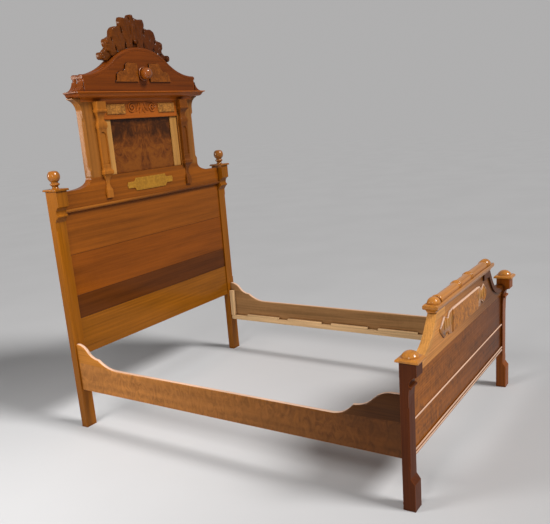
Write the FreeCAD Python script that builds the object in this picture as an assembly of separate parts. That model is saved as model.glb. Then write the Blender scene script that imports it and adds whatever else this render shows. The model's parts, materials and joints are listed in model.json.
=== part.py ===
import FreeCAD, Part
import math
import os

# A high-back walnut bed of the 1880s that knocks down into headboard, footboard and two side rails.
# Millimetres. +X across the bed, +Y towards the head, +Z up; the origin is on the floor under
# the middle of the bed's box.

# Whole bed
bed_width = 1512.0              # over the posts
rail_span = 1937.0              # clear length between head posts and foot posts
overrun = 5.0                   # how far every cutting shape runs past what it cuts
joint_gap = 0.3                 # between the fixed pieces and what lifts off them
tongue_length = 8.0             # boards run this far into grooves in the posts
tongue_clearance = 0.4          # around a tongue in its groove

# Head posts
head_post_width = 70.0
head_post_depth = 43.0
head_post_rise = 12.0           # post top above the low end of the shoulder board
head_block_depth = 87.0         # the square block at the top stands forward of the shaft
head_block_height = 84.0
head_cove_height = 43.0
head_cove_depth = 62.0
head_bead_height = 16.0
head_bead_depth = 70.0
head_taper_height = 24.0
post_chamfer = 5.0              # stopped chamfers on the shafts
post_chamfer_stop = 40.0        # from a chamfer's end to the next change of section
head_cap_overhang = 10.0
head_cap_height = 11.0
head_cap_bevel = 3.0

# Turned finials on the head posts
finial_base_radius = 29.0
finial_base_height = 10.0
finial_neck_radius = 19.0
finial_neck_height = 29.0
finial_ring_radius = 26.0
finial_ring_height = 13.0
finial_ball_radius = 33.5
finial_ball_height = 53.0
finial_ball_ends = 22.0         # radius of the flats above and below
finial_top_height = 4.0

# Panel of four boards between the head posts
head_panel_floor = 425.0        # lower edge above the floor
head_panel_inset = 15.0         # its back face in from the back of the posts
head_panel_thickness = 20.0
lower_board_height = 212.0
dark_board_height = 131.0
upper_board_height = 232.0
top_board_height = 252.0
board_edge_chamfer = 1.5
panel_moulding_height = 20.0
panel_moulding_depth = 24.0

# Shoulder board that carries the tall middle part
tower_inset = 5.0               # back of the tower in from the back of the posts
tower_thickness = 47.0
tower_half_width = 472.0
shoulder_end_height = 95.0
shoulder_curve_height = 53.0
shoulder_curve_length = 140.0
curve_handle_share = 0.6        # how far a curve's handles reach towards its corner

# Tall middle part: stiles, frieze rail, veneered panel and strips
stile_width = 156.0
panel_sight_height = 312.0
frieze_height = 120.0
stile_chamfer = 13.0
stile_chamfer_stop = 36.0
burl_panel_thickness = 12.0
burl_panel_inset = 15.0         # back of the panel in from the back of the stiles
strip_width = 60.0
strip_thickness = 9.0
strip_bevel = 5.0
tablet_height = 58.0
tablet_thickness = 7.0
tablet_bevel = 4.0
tablet_end_gap = 24.0           # from a tablet to the stile
tablet_scroll_gap = 19.0        # from a tablet to the carving in the middle
tablet_lift = 26.0              # tablet above the lower edge of the frieze rail
scroll_radius = 33.0
scroll_offset = 90.0            # middle of each frieze scroll from the middle of the bed
scroll_lift = 62.0
scroll_width = 11.0
scroll_thickness = 9.0
pendant_width = 60.0
pendant_height = 72.0
cartouche_half_length = 194.0
cartouche_height = 76.0
cartouche_body_share = 0.68     # length of the tall middle
cartouche_end_share = 0.5       # height of the two ends
cartouche_thickness = 5.0

# Applied pilasters on the stiles
pilaster_offset = 39.0          # its middle out from the inner edge of the stile
pilaster_width = 60.0
pilaster_projection = 18.0
pilaster_top_gap = 21.0         # from the capital up to the cornice
capital_width = 72.0
capital_projection = 32.0
capital_height = 41.0
astragal_height = 18.0
astragal_projection = 37.0
astragal_width = 78.0
neck_height = 46.0
neck_width = 52.0
neck_drop = 46.0                # from the narrow neck down to the full shaft
base_width = 72.0
base_projection = 27.0
base_height = 16.0
base_lift = 12.0                # base above the shoulder board's top edge
base_cove_height = 24.0
drop_height = 92.0
drop_width = 34.0
drop_projection = 9.0
drop_block_width = 44.0
drop_block_height = 44.0
drop_block_projection = 14.0
flute_width = 44.0
flute_depth = 6.0
flute_margin = 14.0

# Cornice
cornice_projection = 70.0       # the same to the front and to both sides
cornice_height = 30.0
cornice_moulding_depth = 46.0
cornice_lip = 5.0
bed_mould_size = 20.0
bracket_height = 68.0
bracket_length = 56.0
end_cove_height = 55.0
end_cove_reveal = 3.0           # cove in from the edge of the cornice
end_cove_lip = 3.0

# Pediment
pediment_setback = 67.0         # its ends in from the edge of the cornice
pediment_depth = 90.0
pediment_board_thickness = 30.0
pediment_end_height = 93.0
pediment_rise = 158.0
pediment_break_share = 0.51     # where the hollow of its top edge turns into the arch
edge_thickness = 22.0           # reeded moulding along the top edge and down both ends
reed_height = 9.0
reed_width = 38.0
plaque_half_length = 238.0
plaque_height = 104.0
plaque_thickness = 9.0
plaque_lift = 54.0              # plaques above the cornice
plaque_gap = 50.0               # inner end of each plaque from the middle
boss_radius = 35.0
boss_ring_radius = 41.0
boss_ring_height = 6.0

# Carved crest
crest_half_width = 293.0
crest_height = 184.0            # above the top of the pediment's arch
crest_foot = 74.0               # scroll ends below the top of the arch
crest_thickness = 30.0
crest_top_thickness = 12.0      # its face leans back towards the top
crest_leaf_height = 12.0
crest_inset = 22.0              # back of the crest in from the back of the pediment
crest_seat_gap = 0.2

# Foot posts
foot_post_width = 67.0
foot_post_depth = 37.0
foot_block_depth = 74.0
foot_block_height = 60.0
foot_cove_height = 43.0
foot_cove_depth = 41.0
foot_bead_height = 12.0
foot_bead_depth = 51.0
foot_taper_height = 36.0
foot_base_depth = 55.0
foot_base_height = 125.0
foot_base_slope = 25.0
foot_post_rise = 91.0           # post top above the lower edge of the arched board
foot_cap_overhang = 13.0
foot_cap_height = 8.0
foot_cap_slope = 7.0
foot_cap_inset = 9.0
button_radius = 36.0
button_height = 27.0

# Footboard
foot_panel_floor = 222.0
foot_bottom_rail_height = 34.0
foot_lower_board_height = 137.0
foot_upper_board_height = 181.0
foot_panel_inset = 15.5         # its inner face behind the inner face of the posts
foot_panel_thickness = 11.5
foot_rail_thickness = 23.0
foot_bead_radius = 6.0
arch_board_height = 202.0
arch_board_thickness = 23.0
foot_ledge_rise = 53.0          # level ends of the border above the board's lower edge
foot_ledge_length = 49.0
foot_curve_radius = 227.0
foot_curve_turn = 53.0          # degrees
border_thickness = 28.0
border_depth = 42.0
ear_height = 34.0
ear_length = 70.0
top_rail_half_length = 443.0
top_rail_depth = 71.0
top_rail_height = 20.0
top_rail_cove_height = 15.0
top_rail_nose = 3.0             # how far its rounded edge stands out
roll_half_length = 425.0
roll_radius = 24.0
roll_ring_radius = 29.0
roll_ring_width = 13.0
roll_ring_gap = 4.0
roll_middle_ring = 92.0         # middle of each inner pair of rings from the middle
roll_ball_radius = 30.0
roll_ball_length = 62.0
roll_tip_radius = 12.0
foot_plaque_half_length = 360.0
foot_plaque_field_share = 0.55  # the plain field's share of its length
foot_plaque_height = 119.0
foot_plaque_thickness = 10.0
foot_plaque_bevel = 6.0
foot_plaque_lift = 43.0

# Side rails
rail_inset = 11.0               # outer face in from the outer face of the posts
rail_thickness = 25.0
rail_floor = 232.0
rail_low_height = 149.0
rail_head_height = 272.0
rail_foot_height = 286.0
rail_head_curve = 285.0
rail_head_cusp = 152.0          # point between the two curves, from the rail's end
rail_head_cusp_rise = 47.0      # that point above the rail's waist
rail_foot_curve = 331.0
rail_foot_cusp = 222.0
rail_foot_cusp_rise = 56.0
rail_foot_flat = 34.0           # level part beside the foot post
rail_break_share = 0.5
ledger_thickness = 22.0
ledger_height = 31.0
spacer_height = 13.0
slat_gap_width = 76.0
slat_gaps = 8
slat_gap_end = 105.0            # middle of the first gap from the rail's end
end_block_width = 32.0
end_block_height = 186.0
end_block_thickness = 25.0

# Iron bed hooks
hook_plate_width = 16.0
hook_plate_thickness = 3.0
hook_plate_margin = 22.0        # plate above and below its hooks
hook_thickness = 5.0
hook_reach = 20.0
hook_pin_reach = 11.0           # pin from the face of the post
hook_pin_diameter = 6.0
hook_leg = 10.0
hook_crown = 14.0
hook_low_lift = 53.0            # lower pin above the rail's lower edge
hook_spacing = 110.0
hook_slot_side = 1.2
hook_slot_end = 3.0
hook_lift = 16.0                # how far the rail rises to come off its pins
hook_pin_hold = 12.0            # pin held in the post past the slot

# Heights that follow from the sizes above
head_panel_top = (head_panel_floor + lower_board_height + dark_board_height
                  + upper_board_height + top_board_height)
shoulder_low = head_panel_top + shoulder_end_height
shoulder_top = shoulder_low + shoulder_curve_height
head_post_height = shoulder_low + head_post_rise
frieze_low = shoulder_top + panel_sight_height
cornice_low = frieze_low + frieze_height
cornice_top = cornice_low + cornice_height
pediment_low_top = cornice_top + pediment_end_height
pediment_crown = pediment_low_top + pediment_rise
foot_bead_line = foot_panel_floor + foot_bottom_rail_height + foot_lower_board_height
arch_low = foot_bead_line + foot_upper_board_height
arch_top = arch_low + arch_board_height
foot_post_height = arch_low + foot_post_rise
top_rail_top = arch_top + top_rail_cove_height + top_rail_height
hook_heights = [rail_floor + hook_low_lift, rail_floor + hook_low_lift + hook_spacing]

# Places that follow from the sizes above
bed_length = (head_cap_overhang + head_post_depth + rail_span + foot_block_depth
              + foot_cap_overhang)
head_back = bed_length / 2 - head_cap_overhang
head_face = head_back - head_post_depth
foot_face = head_face - rail_span
post_outer = bed_width / 2
head_post_inner = post_outer - head_post_width
foot_post_inner = post_outer - foot_post_width
stile_inner = tower_half_width - stile_width
pilaster_centre = stile_inner + pilaster_offset
tower_front = tower_inset + tower_thickness
cornice_front = tower_front + cornice_projection
cornice_half = tower_half_width + cornice_projection
pediment_half_width = cornice_half - pediment_setback
pediment_front = tower_inset + pediment_depth
foot_middle = foot_post_depth / 2
rail_outer = post_outer - rail_inset
rail_inner = rail_outer - rail_thickness
rail_middle = rail_outer - rail_thickness / 2
rail_head_end = head_face - joint_gap
rail_foot_end = foot_face + joint_gap

V = FreeCAD.Vector


def head_y(depth):
    """Place a depth forward of the head posts' back face."""
    return head_back - depth


def foot_y(depth):
    """Place a depth outward of the foot posts' inner face."""
    return foot_face - depth


def front_of(y):
    """Draw in x and z on the upright plane at y."""
    return lambda x, z: V(x, y, z)


def head_side(x):
    """Draw in depth and z on the end plane at x, at the headboard."""
    return lambda depth, z: V(x, head_y(depth), z)


def foot_side(x):
    """Draw in depth and z on the end plane at x, at the footboard."""
    return lambda depth, z: V(x, foot_y(depth), z)


def edge(points):
    """A line through two points, an arc through three, or a curve led by four."""
    if len(points) == 2:
        return Part.LineSegment(*points).toShape()
    if len(points) == 3:
        return Part.Arc(*points).toShape()
    curve = Part.BezierCurve()
    curve.setPoles(points)
    return curve.toShape()


def path(place, start, steps):
    """Edges from start through steps; a step ends in its end point."""
    edges = []
    here = start
    for step in steps:
        edges.append(edge([place(*point) for point in [here] + list(step)]))
        here = step[-1]
    return edges


def outline(place, start, steps):
    """A face inside the steps, closed by a line back to start where they leave it open."""
    closing = [] if steps[-1][-1] == start else [[start]]
    return Part.Face(Part.Wire(path(place, start, list(steps) + closing)))


def bow(start, end, share):
    """The top of an arc that leaves its chord to the left by a share of it."""
    run = end[0] - start[0]
    rise = end[1] - start[1]
    return ((start[0] + end[0]) / 2 - share * rise, (start[1] + end[1]) / 2 + share * run)


def arc_step(start, end, share):
    """An arc to end that bows to the left of its chord by a share of it."""
    return [bow(start, end, share), end]


def level_share(run, rise):
    """Bow share of an arc that lies along the run at one of its ends."""
    return math.tan(math.atan2(abs(rise), abs(run)) / 2) / 2


def between(start, end, share):
    """The point a share of the way from start to end."""
    return (start[0] + share * (end[0] - start[0]), start[1] + share * (end[1] - start[1]))


def level_ogee(start, end, break_share, inset):
    """Start and two arcs of an S that is level at both ends, moved inwards by inset."""
    run = end[0] - start[0]
    rise = end[1] - start[1]
    slope = math.atan2(abs(rise), abs(run))
    share = math.copysign(level_share(run, rise), -run * rise)
    middle = between(start, end, break_share)
    lean = math.copysign(math.sin(2 * slope), run * rise)
    middle = (middle[0] + inset * lean, middle[1] - inset * math.cos(2 * slope))
    start = (start[0], start[1] - inset)
    end = (end[0], end[1] - inset)
    return start, [arc_step(start, middle, share), arc_step(middle, end, -share)]


def block(low, high):
    """A box between two corners."""
    return Part.makeBox(high[0] - low[0], high[1] - low[1], high[2] - low[2], V(*low))


def head_block(x_low, x_high, depth_low, depth_high, z_low, z_high):
    """A box at the headboard, between two depths."""
    return block((x_low, head_y(depth_high), z_low), (x_high, head_y(depth_low), z_high))


def foot_block(x_low, x_high, depth_low, depth_high, z_low, z_high):
    """A box at the footboard, between two depths."""
    return block((x_low, foot_y(depth_high), z_low), (x_high, foot_y(depth_low), z_high))


def mirrored(shape):
    """The same piece on the other side of the bed."""
    return shape.mirror(V(), V(1, 0, 0))


def both(shape):
    """A piece and its mirror image as one group."""
    return Part.Compound([shape, mirrored(shape)])


def turned(place, start, steps, centre, axis, angle):
    """A profile turned about an axis."""
    return outline(place, start, steps).revolve(centre, axis, angle)


def stopped_chamfer(x, y, inward_x, inward_y, z_low, z_high, size):
    """Cutter for a chamfer on an upright edge that runs out in a curve at both ends."""
    reach = size / math.sqrt(2)
    ends = 2 * size
    inward = V(inward_x, inward_y, 0).normalize()
    along = V(-inward_y, inward_x, 0).normalize()
    corner = V(x, y, 0) - along * 2 * size

    def place(depth, z):
        return corner + inward * depth + V(0, 0, z)

    low = (0, z_low)
    low_full = (reach, z_low + ends)
    high_full = (reach, z_high - ends)
    high = (0, z_high)
    run_out_share = 0.12
    steps = [arc_step(low, low_full, -run_out_share), [high_full],
             arc_step(high_full, high, -run_out_share),
             [(-2 * size, z_high)], [(-2 * size, z_low)]]
    return outline(place, low, steps).extrude(along * 4 * size)


def bevelled_plate(place, start, steps, thickness, bevel, scale_about):
    """A plate whose face is drawn in from its outline by a bevel."""
    face = outline(place(0), start, steps)
    box = face.BoundBox
    x_share = 1 - 2 * bevel / box.XLength
    z_share = 1 - 2 * bevel / box.ZLength

    def inner(point):
        return (scale_about[0] + (point[0] - scale_about[0]) * x_share,
                scale_about[1] + (point[1] - scale_about[1]) * z_share)

    top_steps = [[inner(point) for point in step] for step in steps]
    low_wire = Part.Wire(path(place(0), start, steps + [[start]]))
    mid_wire = Part.Wire(path(place(thickness - bevel), start, steps + [[start]]))
    top_wire = Part.Wire(path(place(thickness), inner(start), top_steps + [[inner(start)]]))
    return Part.makeLoft([low_wire, mid_wire, top_wire], True, True)


def hook_slot(post_face, into, mid_x):
    """Cutter for the slot in a post that takes the two hooks of a rail."""
    half = hook_thickness / 2 + hook_slot_side
    low = hook_heights[0] - hook_leg - hook_slot_end
    high = hook_heights[-1] + hook_crown + hook_lift + hook_slot_end
    deep = post_face + into * (hook_reach + hook_slot_end)
    mouth = post_face - into * overrun
    return block((mid_x - half, min(deep, mouth), low), (mid_x + half, max(deep, mouth), high))


def hook_pin(post_face, into, post_inner, height):
    """An iron pin driven across a post's slot from the post's inner face."""
    half = hook_thickness / 2 + hook_slot_side
    length = rail_middle + half + hook_pin_hold - post_inner
    place = V(post_inner, post_face + into * hook_pin_reach, height)
    return Part.makeCylinder(hook_pin_diameter / 2, length, place, V(1, 0, 0))


def post_profile(depths, heights):
    """Steps up a post's front: shaft, taper, bead, cove and block."""
    shaft, seat, bead, top_block = depths
    shaft_top, bead_low, bead_high, cove_high, top = heights
    bead_mid = (bead, (bead_low + bead_high) / 2)
    cove_bow_share = 0.22
    return [[(shaft, shaft_top)], [(seat, bead_low)], [bead_mid, (seat, bead_high)],
            arc_step((seat, bead_high), (top_block, cove_high), cove_bow_share),
            [(top_block, top)], [(0, top)]]


def head_post():
    """Right head post: shaft, neck moulding, block, panel groove and hook slot."""
    cove_high = head_post_height - head_block_height
    bead_high = cove_high - head_cove_height
    bead_low = bead_high - head_bead_height
    shaft_top = bead_low - head_taper_height
    steps = [[(head_post_depth, 0)]]
    steps += post_profile((head_post_depth, head_cove_depth, head_bead_depth, head_block_depth),
                          (shaft_top, bead_low, bead_high, cove_high, head_post_height))
    post = outline(head_side(head_post_inner), (0, 0), steps).extrude(V(head_post_width, 0, 0))
    groove = head_block(head_post_inner - overrun, head_post_inner + tongue_length,
                        head_panel_inset - tongue_clearance / 2,
                        head_panel_inset + head_panel_thickness + tongue_clearance / 2,
                        head_panel_floor, shoulder_low)
    cutters = [groove, hook_slot(head_face, 1, rail_middle)]
    cutters += [hook_pin(head_face, 1, head_post_inner, height) for height in hook_heights]
    chamfer_low = rail_floor + rail_head_height + post_chamfer_stop
    chamfer_high = shaft_top - post_chamfer_stop
    cutters.append(stopped_chamfer(post_outer, head_face, -1, 1, chamfer_low, chamfer_high,
                                   post_chamfer))
    return post.cut(cutters)


def head_cap():
    """Right head post's square cap plate, with bevelled upper edges."""
    low = (head_post_inner - head_cap_overhang, head_y(head_block_depth + head_cap_overhang),
           head_post_height)
    high = (post_outer + head_cap_overhang, head_y(-head_cap_overhang),
            head_post_height + head_cap_height)
    plate = block(low, high)
    upper = [side for side in plate.Edges if side.BoundBox.ZMin > high[2] - head_cap_bevel]
    return plate.makeChamfer(head_cap_bevel, upper)


def head_finial():
    """Turned finial: flared base, ringed neck and barrel-shaped ball."""
    centre_x = (head_post_inner + post_outer) / 2
    centre_y = head_y(head_block_depth / 2)
    foot = head_post_height + head_cap_height

    def place(radius, height):
        return V(centre_x + radius, centre_y, foot + height)

    ring_low = finial_base_height + (finial_neck_height - finial_ring_height) / 2
    ring_high = ring_low + finial_ring_height
    ball_low = finial_base_height + finial_neck_height
    ball_mid = ball_low + finial_ball_height / 2
    ball_high = ball_low + finial_ball_height
    ring_mid = (finial_ring_radius, (ring_low + ring_high) / 2)
    base_share = 0.55
    base_top = (finial_base_radius * base_share, finial_base_height)
    base_bow_share = level_share(finial_base_radius - base_top[0], finial_base_height)
    ball_share = level_share(finial_ball_height / 2, finial_ball_radius - finial_ball_ends)
    top_share = level_share(finial_ball_ends, finial_top_height)
    steps = [[(finial_base_radius, 0)],
             arc_step((finial_base_radius, 0), base_top, base_bow_share),
             [(finial_neck_radius, ring_low)], [ring_mid, (finial_neck_radius, ring_high)],
             [(finial_neck_radius, ball_low)], [(finial_ball_ends, ball_low)],
             arc_step((finial_ball_ends, ball_low), (finial_ball_radius, ball_mid), -ball_share),
             arc_step((finial_ball_radius, ball_mid), (finial_ball_ends, ball_high), -ball_share),
             arc_step((finial_ball_ends, ball_high), (0, ball_high + finial_top_height), -top_share)]
    return turned(place, (0, 0), steps, V(centre_x, centre_y, 0), V(0, 0, 1), 360)


def head_board(z_low, z_high, half_length):
    """One board of the headboard's panel, its front edges eased where boards meet."""
    back = head_panel_inset
    front = head_panel_inset + head_panel_thickness
    eased = front - board_edge_chamfer
    steps = [[(eased, z_low)], [(front, z_low + board_edge_chamfer)],
             [(front, z_high - board_edge_chamfer)], [(eased, z_high)], [(back, z_high)]]
    return outline(head_side(-half_length), (back, z_low), steps).extrude(V(2 * half_length, 0, 0))


def head_boards():
    """The four boards of the panel, from the lowest up."""
    half_length = head_post_inner + tongue_length - tongue_clearance
    heights = [lower_board_height, dark_board_height, upper_board_height,
               top_board_height + tongue_length - tongue_clearance]
    names = ["head_board_lower", "head_board_dark", "head_board_upper", "head_board_top"]
    boards = {}
    low = head_panel_floor
    for name, height in zip(names, heights):
        boards[name] = head_board(low, low + height, half_length)
        low += height
    return boards


def panel_moulding():
    """Ovolo moulding planted on the panel under the shoulder board."""
    back = head_panel_inset + head_panel_thickness
    front = back + panel_moulding_depth
    low = head_panel_top - panel_moulding_height
    lip_share = 0.3
    lip = (front, head_panel_top - panel_moulding_height * lip_share)
    foot = (back + panel_moulding_depth * lip_share, low)
    round_share = 0.2
    steps = [[foot], arc_step(foot, lip, -round_share), [(front, head_panel_top)],
             [(back, head_panel_top)]]
    face = outline(head_side(-head_post_inner), (back, low), steps)
    return face.extrude(V(2 * head_post_inner, 0, 0))


def shoulder_board():
    """Wide board between the posts, its ends hollowed down from the tower."""
    low_end = (tower_half_width + shoulder_curve_length, shoulder_low)
    high_end = (tower_half_width, shoulder_top)
    handles = [between(low_end, (high_end[0], low_end[1]), curve_handle_share),
               between(high_end, (high_end[0], low_end[1]), curve_handle_share)]
    steps = [[(head_post_inner, head_panel_top)], [(head_post_inner, shoulder_low)], [low_end],
             [handles[0], handles[1], high_end], [(-high_end[0], high_end[1])],
             [(-handles[1][0], handles[1][1]), (-handles[0][0], handles[0][1]),
              (-low_end[0], low_end[1])],
             [(-head_post_inner, shoulder_low)], [(-head_post_inner, head_panel_top)]]
    face = outline(front_of(head_y(tower_front)), (0, head_panel_top), steps)
    board = face.extrude(V(0, tower_thickness, 0))
    reach = head_post_inner + tongue_length - tongue_clearance
    panel_front = head_panel_inset + head_panel_thickness
    tongue = head_block(-reach, reach, head_panel_inset, panel_front,
                        head_panel_top, shoulder_low - tongue_clearance)
    groove = head_block(-reach - overrun, reach + overrun,
                        head_panel_inset - tongue_clearance / 2,
                        panel_front + tongue_clearance / 2,
                        head_panel_top - overrun, head_panel_top + tongue_length)
    return board.fuse(tongue).cut(groove).removeSplitter()


def tower_stile():
    """Right stile of the tower, with a stopped chamfer on its outer front edge."""
    stile = head_block(stile_inner, tower_half_width, tower_inset, tower_front,
                       shoulder_top, cornice_low)
    chamfer = stopped_chamfer(tower_half_width, head_y(tower_front), -1, 1,
                              shoulder_top + stile_chamfer_stop,
                              cornice_low - bracket_height - stile_chamfer_stop, stile_chamfer)
    return stile.cut(chamfer)


def frieze_rail():
    """Rail across the top of the tower, between the stiles."""
    return head_block(-stile_inner, stile_inner, tower_inset, tower_front, frieze_low, cornice_low)


def burl_panel():
    """Veneered panel let in between stiles, frieze rail and shoulder board."""
    back = tower_inset + burl_panel_inset
    return head_block(-stile_inner, stile_inner, back, back + burl_panel_thickness,
                      shoulder_top, frieze_low)


def panel_strip():
    """Right strip over the edge of the veneered panel, bevelled towards it."""
    back = tower_inset + burl_panel_inset + burl_panel_thickness
    front = back + strip_thickness
    inner = stile_inner - strip_width
    steps = [[(stile_inner, head_y(back))], [(stile_inner, head_y(front))],
             [(inner + strip_bevel, head_y(front))], [(inner, head_y(front) + strip_bevel)]]
    face = outline(lambda x, y: V(x, y, shoulder_top), (inner, head_y(back)), steps)
    return face.extrude(V(0, 0, panel_sight_height))


def pilaster():
    """Right pilaster: capital, waisted neck, sunk shaft, moulded base and hanging drop."""
    top = cornice_low - pilaster_top_gap
    capital_low = top - capital_height
    astragal_low = capital_low - astragal_height
    neck_low = astragal_low - neck_height
    shaft_top = neck_low - neck_drop
    base_low = shoulder_top + base_lift
    base_high = base_low + base_height
    shaft_low = base_high + base_cove_height
    drop_low = base_low - drop_height
    foot = drop_low - drop_block_height
    hollow_share = 0.15

    def climb(width_or_projection):
        block_size, drop, base, shaft, neck, astragal, capital = width_or_projection
        drop_start = (block_size, drop_low)
        drop_waist = between((drop, drop_low), (drop, base_low), hollow_share)
        drop_end = (base, base_low)
        cove_end = (shaft, shaft_low)
        neck_end = (neck, neck_low)
        flare_end = (capital, astragal_low)
        return [[drop_start], [drop_waist], arc_step(drop_waist, drop_end, hollow_share),
                [(base, base_high)], arc_step((base, base_high), cove_end, hollow_share),
                [(shaft, shaft_top)], arc_step((shaft, shaft_top), neck_end, -hollow_share),
                arc_step(neck_end, flare_end, hollow_share),
                [(astragal, (astragal_low + capital_low) / 2), (capital, capital_low)],
                [(capital, top)], [(0, top)]]

    widths = [size / 2 for size in (drop_block_width, drop_width, base_width, pilaster_width,
                                    neck_width, astragal_width, capital_width)]
    projections = (drop_block_projection, drop_projection, base_projection, pilaster_projection,
                   pilaster_projection, astragal_projection, capital_projection)
    half_front = outline(lambda w, z: V(pilaster_centre + w, head_y(tower_front), z), (0, foot),
                         [[(widths[0], foot)]] + climb(widths))
    half_front = half_front.extrude(V(0, -2 * astragal_projection, 0))
    other_half = half_front.mirror(V(pilaster_centre, 0, 0), V(1, 0, 0))
    side = outline(lambda p, z: V(pilaster_centre - astragal_width, head_y(tower_front + p), z),
                   (0, foot), [[(projections[0], foot)]] + climb(projections))
    side = side.extrude(V(2 * astragal_width, 0, 0))
    column = half_front.fuse(other_half).common(side)
    flute_high = shaft_top - flute_margin
    flute_low = shaft_low + flute_margin
    half_flute = flute_width / 2
    flute_start = (pilaster_centre - half_flute, flute_low)
    flute_steps = [[(pilaster_centre + half_flute, flute_low)],
                   [(pilaster_centre + half_flute, flute_high - half_flute)],
                   [(pilaster_centre, flute_high), (pilaster_centre - half_flute,
                                                    flute_high - half_flute)]]
    flute_face = head_y(tower_front + pilaster_projection - flute_depth)
    flute = outline(front_of(flute_face), flute_start, flute_steps)
    column = column.cut(flute.extrude(V(0, -flute_depth - overrun, 0)))
    return column.removeSplitter()


def frieze_tablet():
    """Right veneered tablet on the frieze rail."""
    outer = stile_inner - tablet_end_gap
    inner = scroll_offset + scroll_radius + tablet_scroll_gap
    low = frieze_low + tablet_lift
    high = low + tablet_height
    centre = ((inner + outer) / 2, (low + high) / 2)

    def place(lift):
        return front_of(head_y(tower_front + lift))

    return bevelled_plate(place, (inner, low), [[(outer, low)], [(outer, high)], [(inner, high)]],
                          tablet_thickness, tablet_bevel, centre)


def frieze_scroll():
    """Carved middle of the frieze: two C-scrolls and a hanging leaf between them."""
    y = head_y(tower_front)
    centre_z = frieze_low + scroll_lift
    outer_radius = scroll_radius
    inner_radius = scroll_radius - scroll_width
    tip_share = 0.5
    left_end = math.radians(50)

    def on(radius, angle):
        return (scroll_offset + radius * math.cos(angle), centre_z + radius * math.sin(angle))

    half_turn = math.pi
    tip = on(inner_radius + scroll_width * tip_share, half_turn - left_end)
    low_tip = on(inner_radius + scroll_width * tip_share, half_turn + left_end)
    steps = [[on(outer_radius, 0), low_tip], [on(inner_radius, 0), tip]]
    scroll = outline(front_of(y), tip, steps).extrude(V(0, -scroll_thickness, 0))
    eye_radius = scroll_width * tip_share
    eye = Part.makeCylinder(eye_radius, scroll_thickness,
                            V(scroll_offset, y, centre_z), V(0, -1, 0))
    stem = block((scroll_offset, y - scroll_thickness / 2, centre_z - eye_radius / 2),
                 (scroll_offset + outer_radius - scroll_width / 2, y, centre_z + eye_radius / 2))
    scroll = scroll.fuse([eye, stem])
    leaf_top = (0, centre_z + pendant_height / 2)
    leaf_tip = (0, centre_z - pendant_height / 2)
    leaf_share = pendant_width / pendant_height / 2
    leaf = outline(front_of(y), leaf_tip, [arc_step(leaf_tip, leaf_top, leaf_share),
                                           arc_step(leaf_top, leaf_tip, leaf_share)])
    leaf = leaf.extrude(V(0, -scroll_thickness, 0))
    return Part.Compound([scroll, mirrored(scroll), leaf])


def shoulder_cartouche():
    """Veneered plate on the shoulder board under the panel, with narrower ends."""
    body = cartouche_half_length * cartouche_body_share
    half_body = cartouche_height / 2
    half_end = half_body * cartouche_end_share
    middle = (head_panel_top + shoulder_top) / 2
    y = head_y(tower_front)
    corner_share = 0.2
    end_corner = (cartouche_half_length, middle - half_end)
    right = [[(body, middle - half_body)],
             arc_step((body, middle - half_body), (body + half_end, middle - half_end), corner_share),
             [end_corner], arc_step(end_corner, (cartouche_half_length, middle + half_end), -corner_share),
             [(body + half_end, middle + half_end)],
             arc_step((body + half_end, middle + half_end), (body, middle + half_body), corner_share),
             [(0, middle + half_body)]]
    half = outline(front_of(y), (0, middle - half_body), right)
    half = half.extrude(V(0, -cartouche_thickness, 0))
    return half.fuse(mirrored(half)).removeSplitter()


def mitre_plan(x_low, x_high, y_near, y_far, slope):
    """Upright prism with mitred ends, from y_near to y_far; slope widens it towards y_near."""
    reach = y_far - y_near
    place_z = cornice_low - overrun
    spread = reach * slope
    corners = [(x_high + spread, y_near), (x_high, y_far), (x_low, y_far)]
    face = outline(lambda x, y: V(x, y, place_z), (x_low - spread, y_near),
                   [[corner] for corner in corners])
    return face.extrude(V(0, 0, cornice_height + 2 * overrun))


def cornice_profile(place):
    """Section of the cornice moulding: fillet, cyma and lip."""
    outer = cornice_projection
    inner = cornice_projection - cornice_moulding_depth
    lip_low = cornice_top - cornice_lip
    fillet_share = 0.3
    throat = inner + cornice_moulding_depth * fillet_share
    start = (throat, cornice_low)
    end = (outer, lip_low)
    middle = between(start, end, 0.5)
    curl_share = 0.14
    steps = [[start], arc_step(start, middle, -curl_share), arc_step(middle, end, curl_share),
             [(outer, cornice_top)], [(inner, cornice_top)]]
    return outline(place, (inner, cornice_low), steps)


def cornice_mouldings():
    """Front moulding and its two returns, mitred at the corners."""
    y_front = head_y(cornice_front)
    y_core = y_front + cornice_moulding_depth
    core_half = cornice_half - cornice_moulding_depth
    front = cornice_profile(lambda p, z: V(-cornice_half, head_y(tower_front + p), z))
    front = front.extrude(V(2 * cornice_half, 0, 0))
    front = front.common(mitre_plan(-core_half, core_half, y_front, y_core, 1))
    right = cornice_profile(lambda p, z: V(tower_half_width + p, y_front, z))
    right = right.extrude(V(0, head_y(0) - y_front, 0))
    corner = outline(lambda x, y: V(x, y, cornice_low - overrun), (core_half, y_core),
                     [[(cornice_half, y_front)], [(cornice_half, head_y(0))],
                      [(core_half, head_y(0))]])
    right = right.common(corner.extrude(V(0, 0, cornice_height + 2 * overrun)))
    return front, right


def cornice_shelf():
    """Board inside the cornice that the mouldings are planted on."""
    core_half = cornice_half - cornice_moulding_depth
    return head_block(-core_half, core_half, 0, cornice_front - cornice_moulding_depth,
                      cornice_low, cornice_top)


def cornice_bed_mould():
    """Cove under the front of the cornice, across frieze and stiles."""
    low = cornice_low - bed_mould_size
    start = (tower_front, low)
    end = (tower_front + bed_mould_size, cornice_low)
    hollow_share = 0.2
    face = outline(head_side(-tower_half_width), start,
                   [arc_step(start, end, hollow_share), [(tower_front, cornice_low)]])
    return face.extrude(V(2 * tower_half_width, 0, 0))


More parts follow.
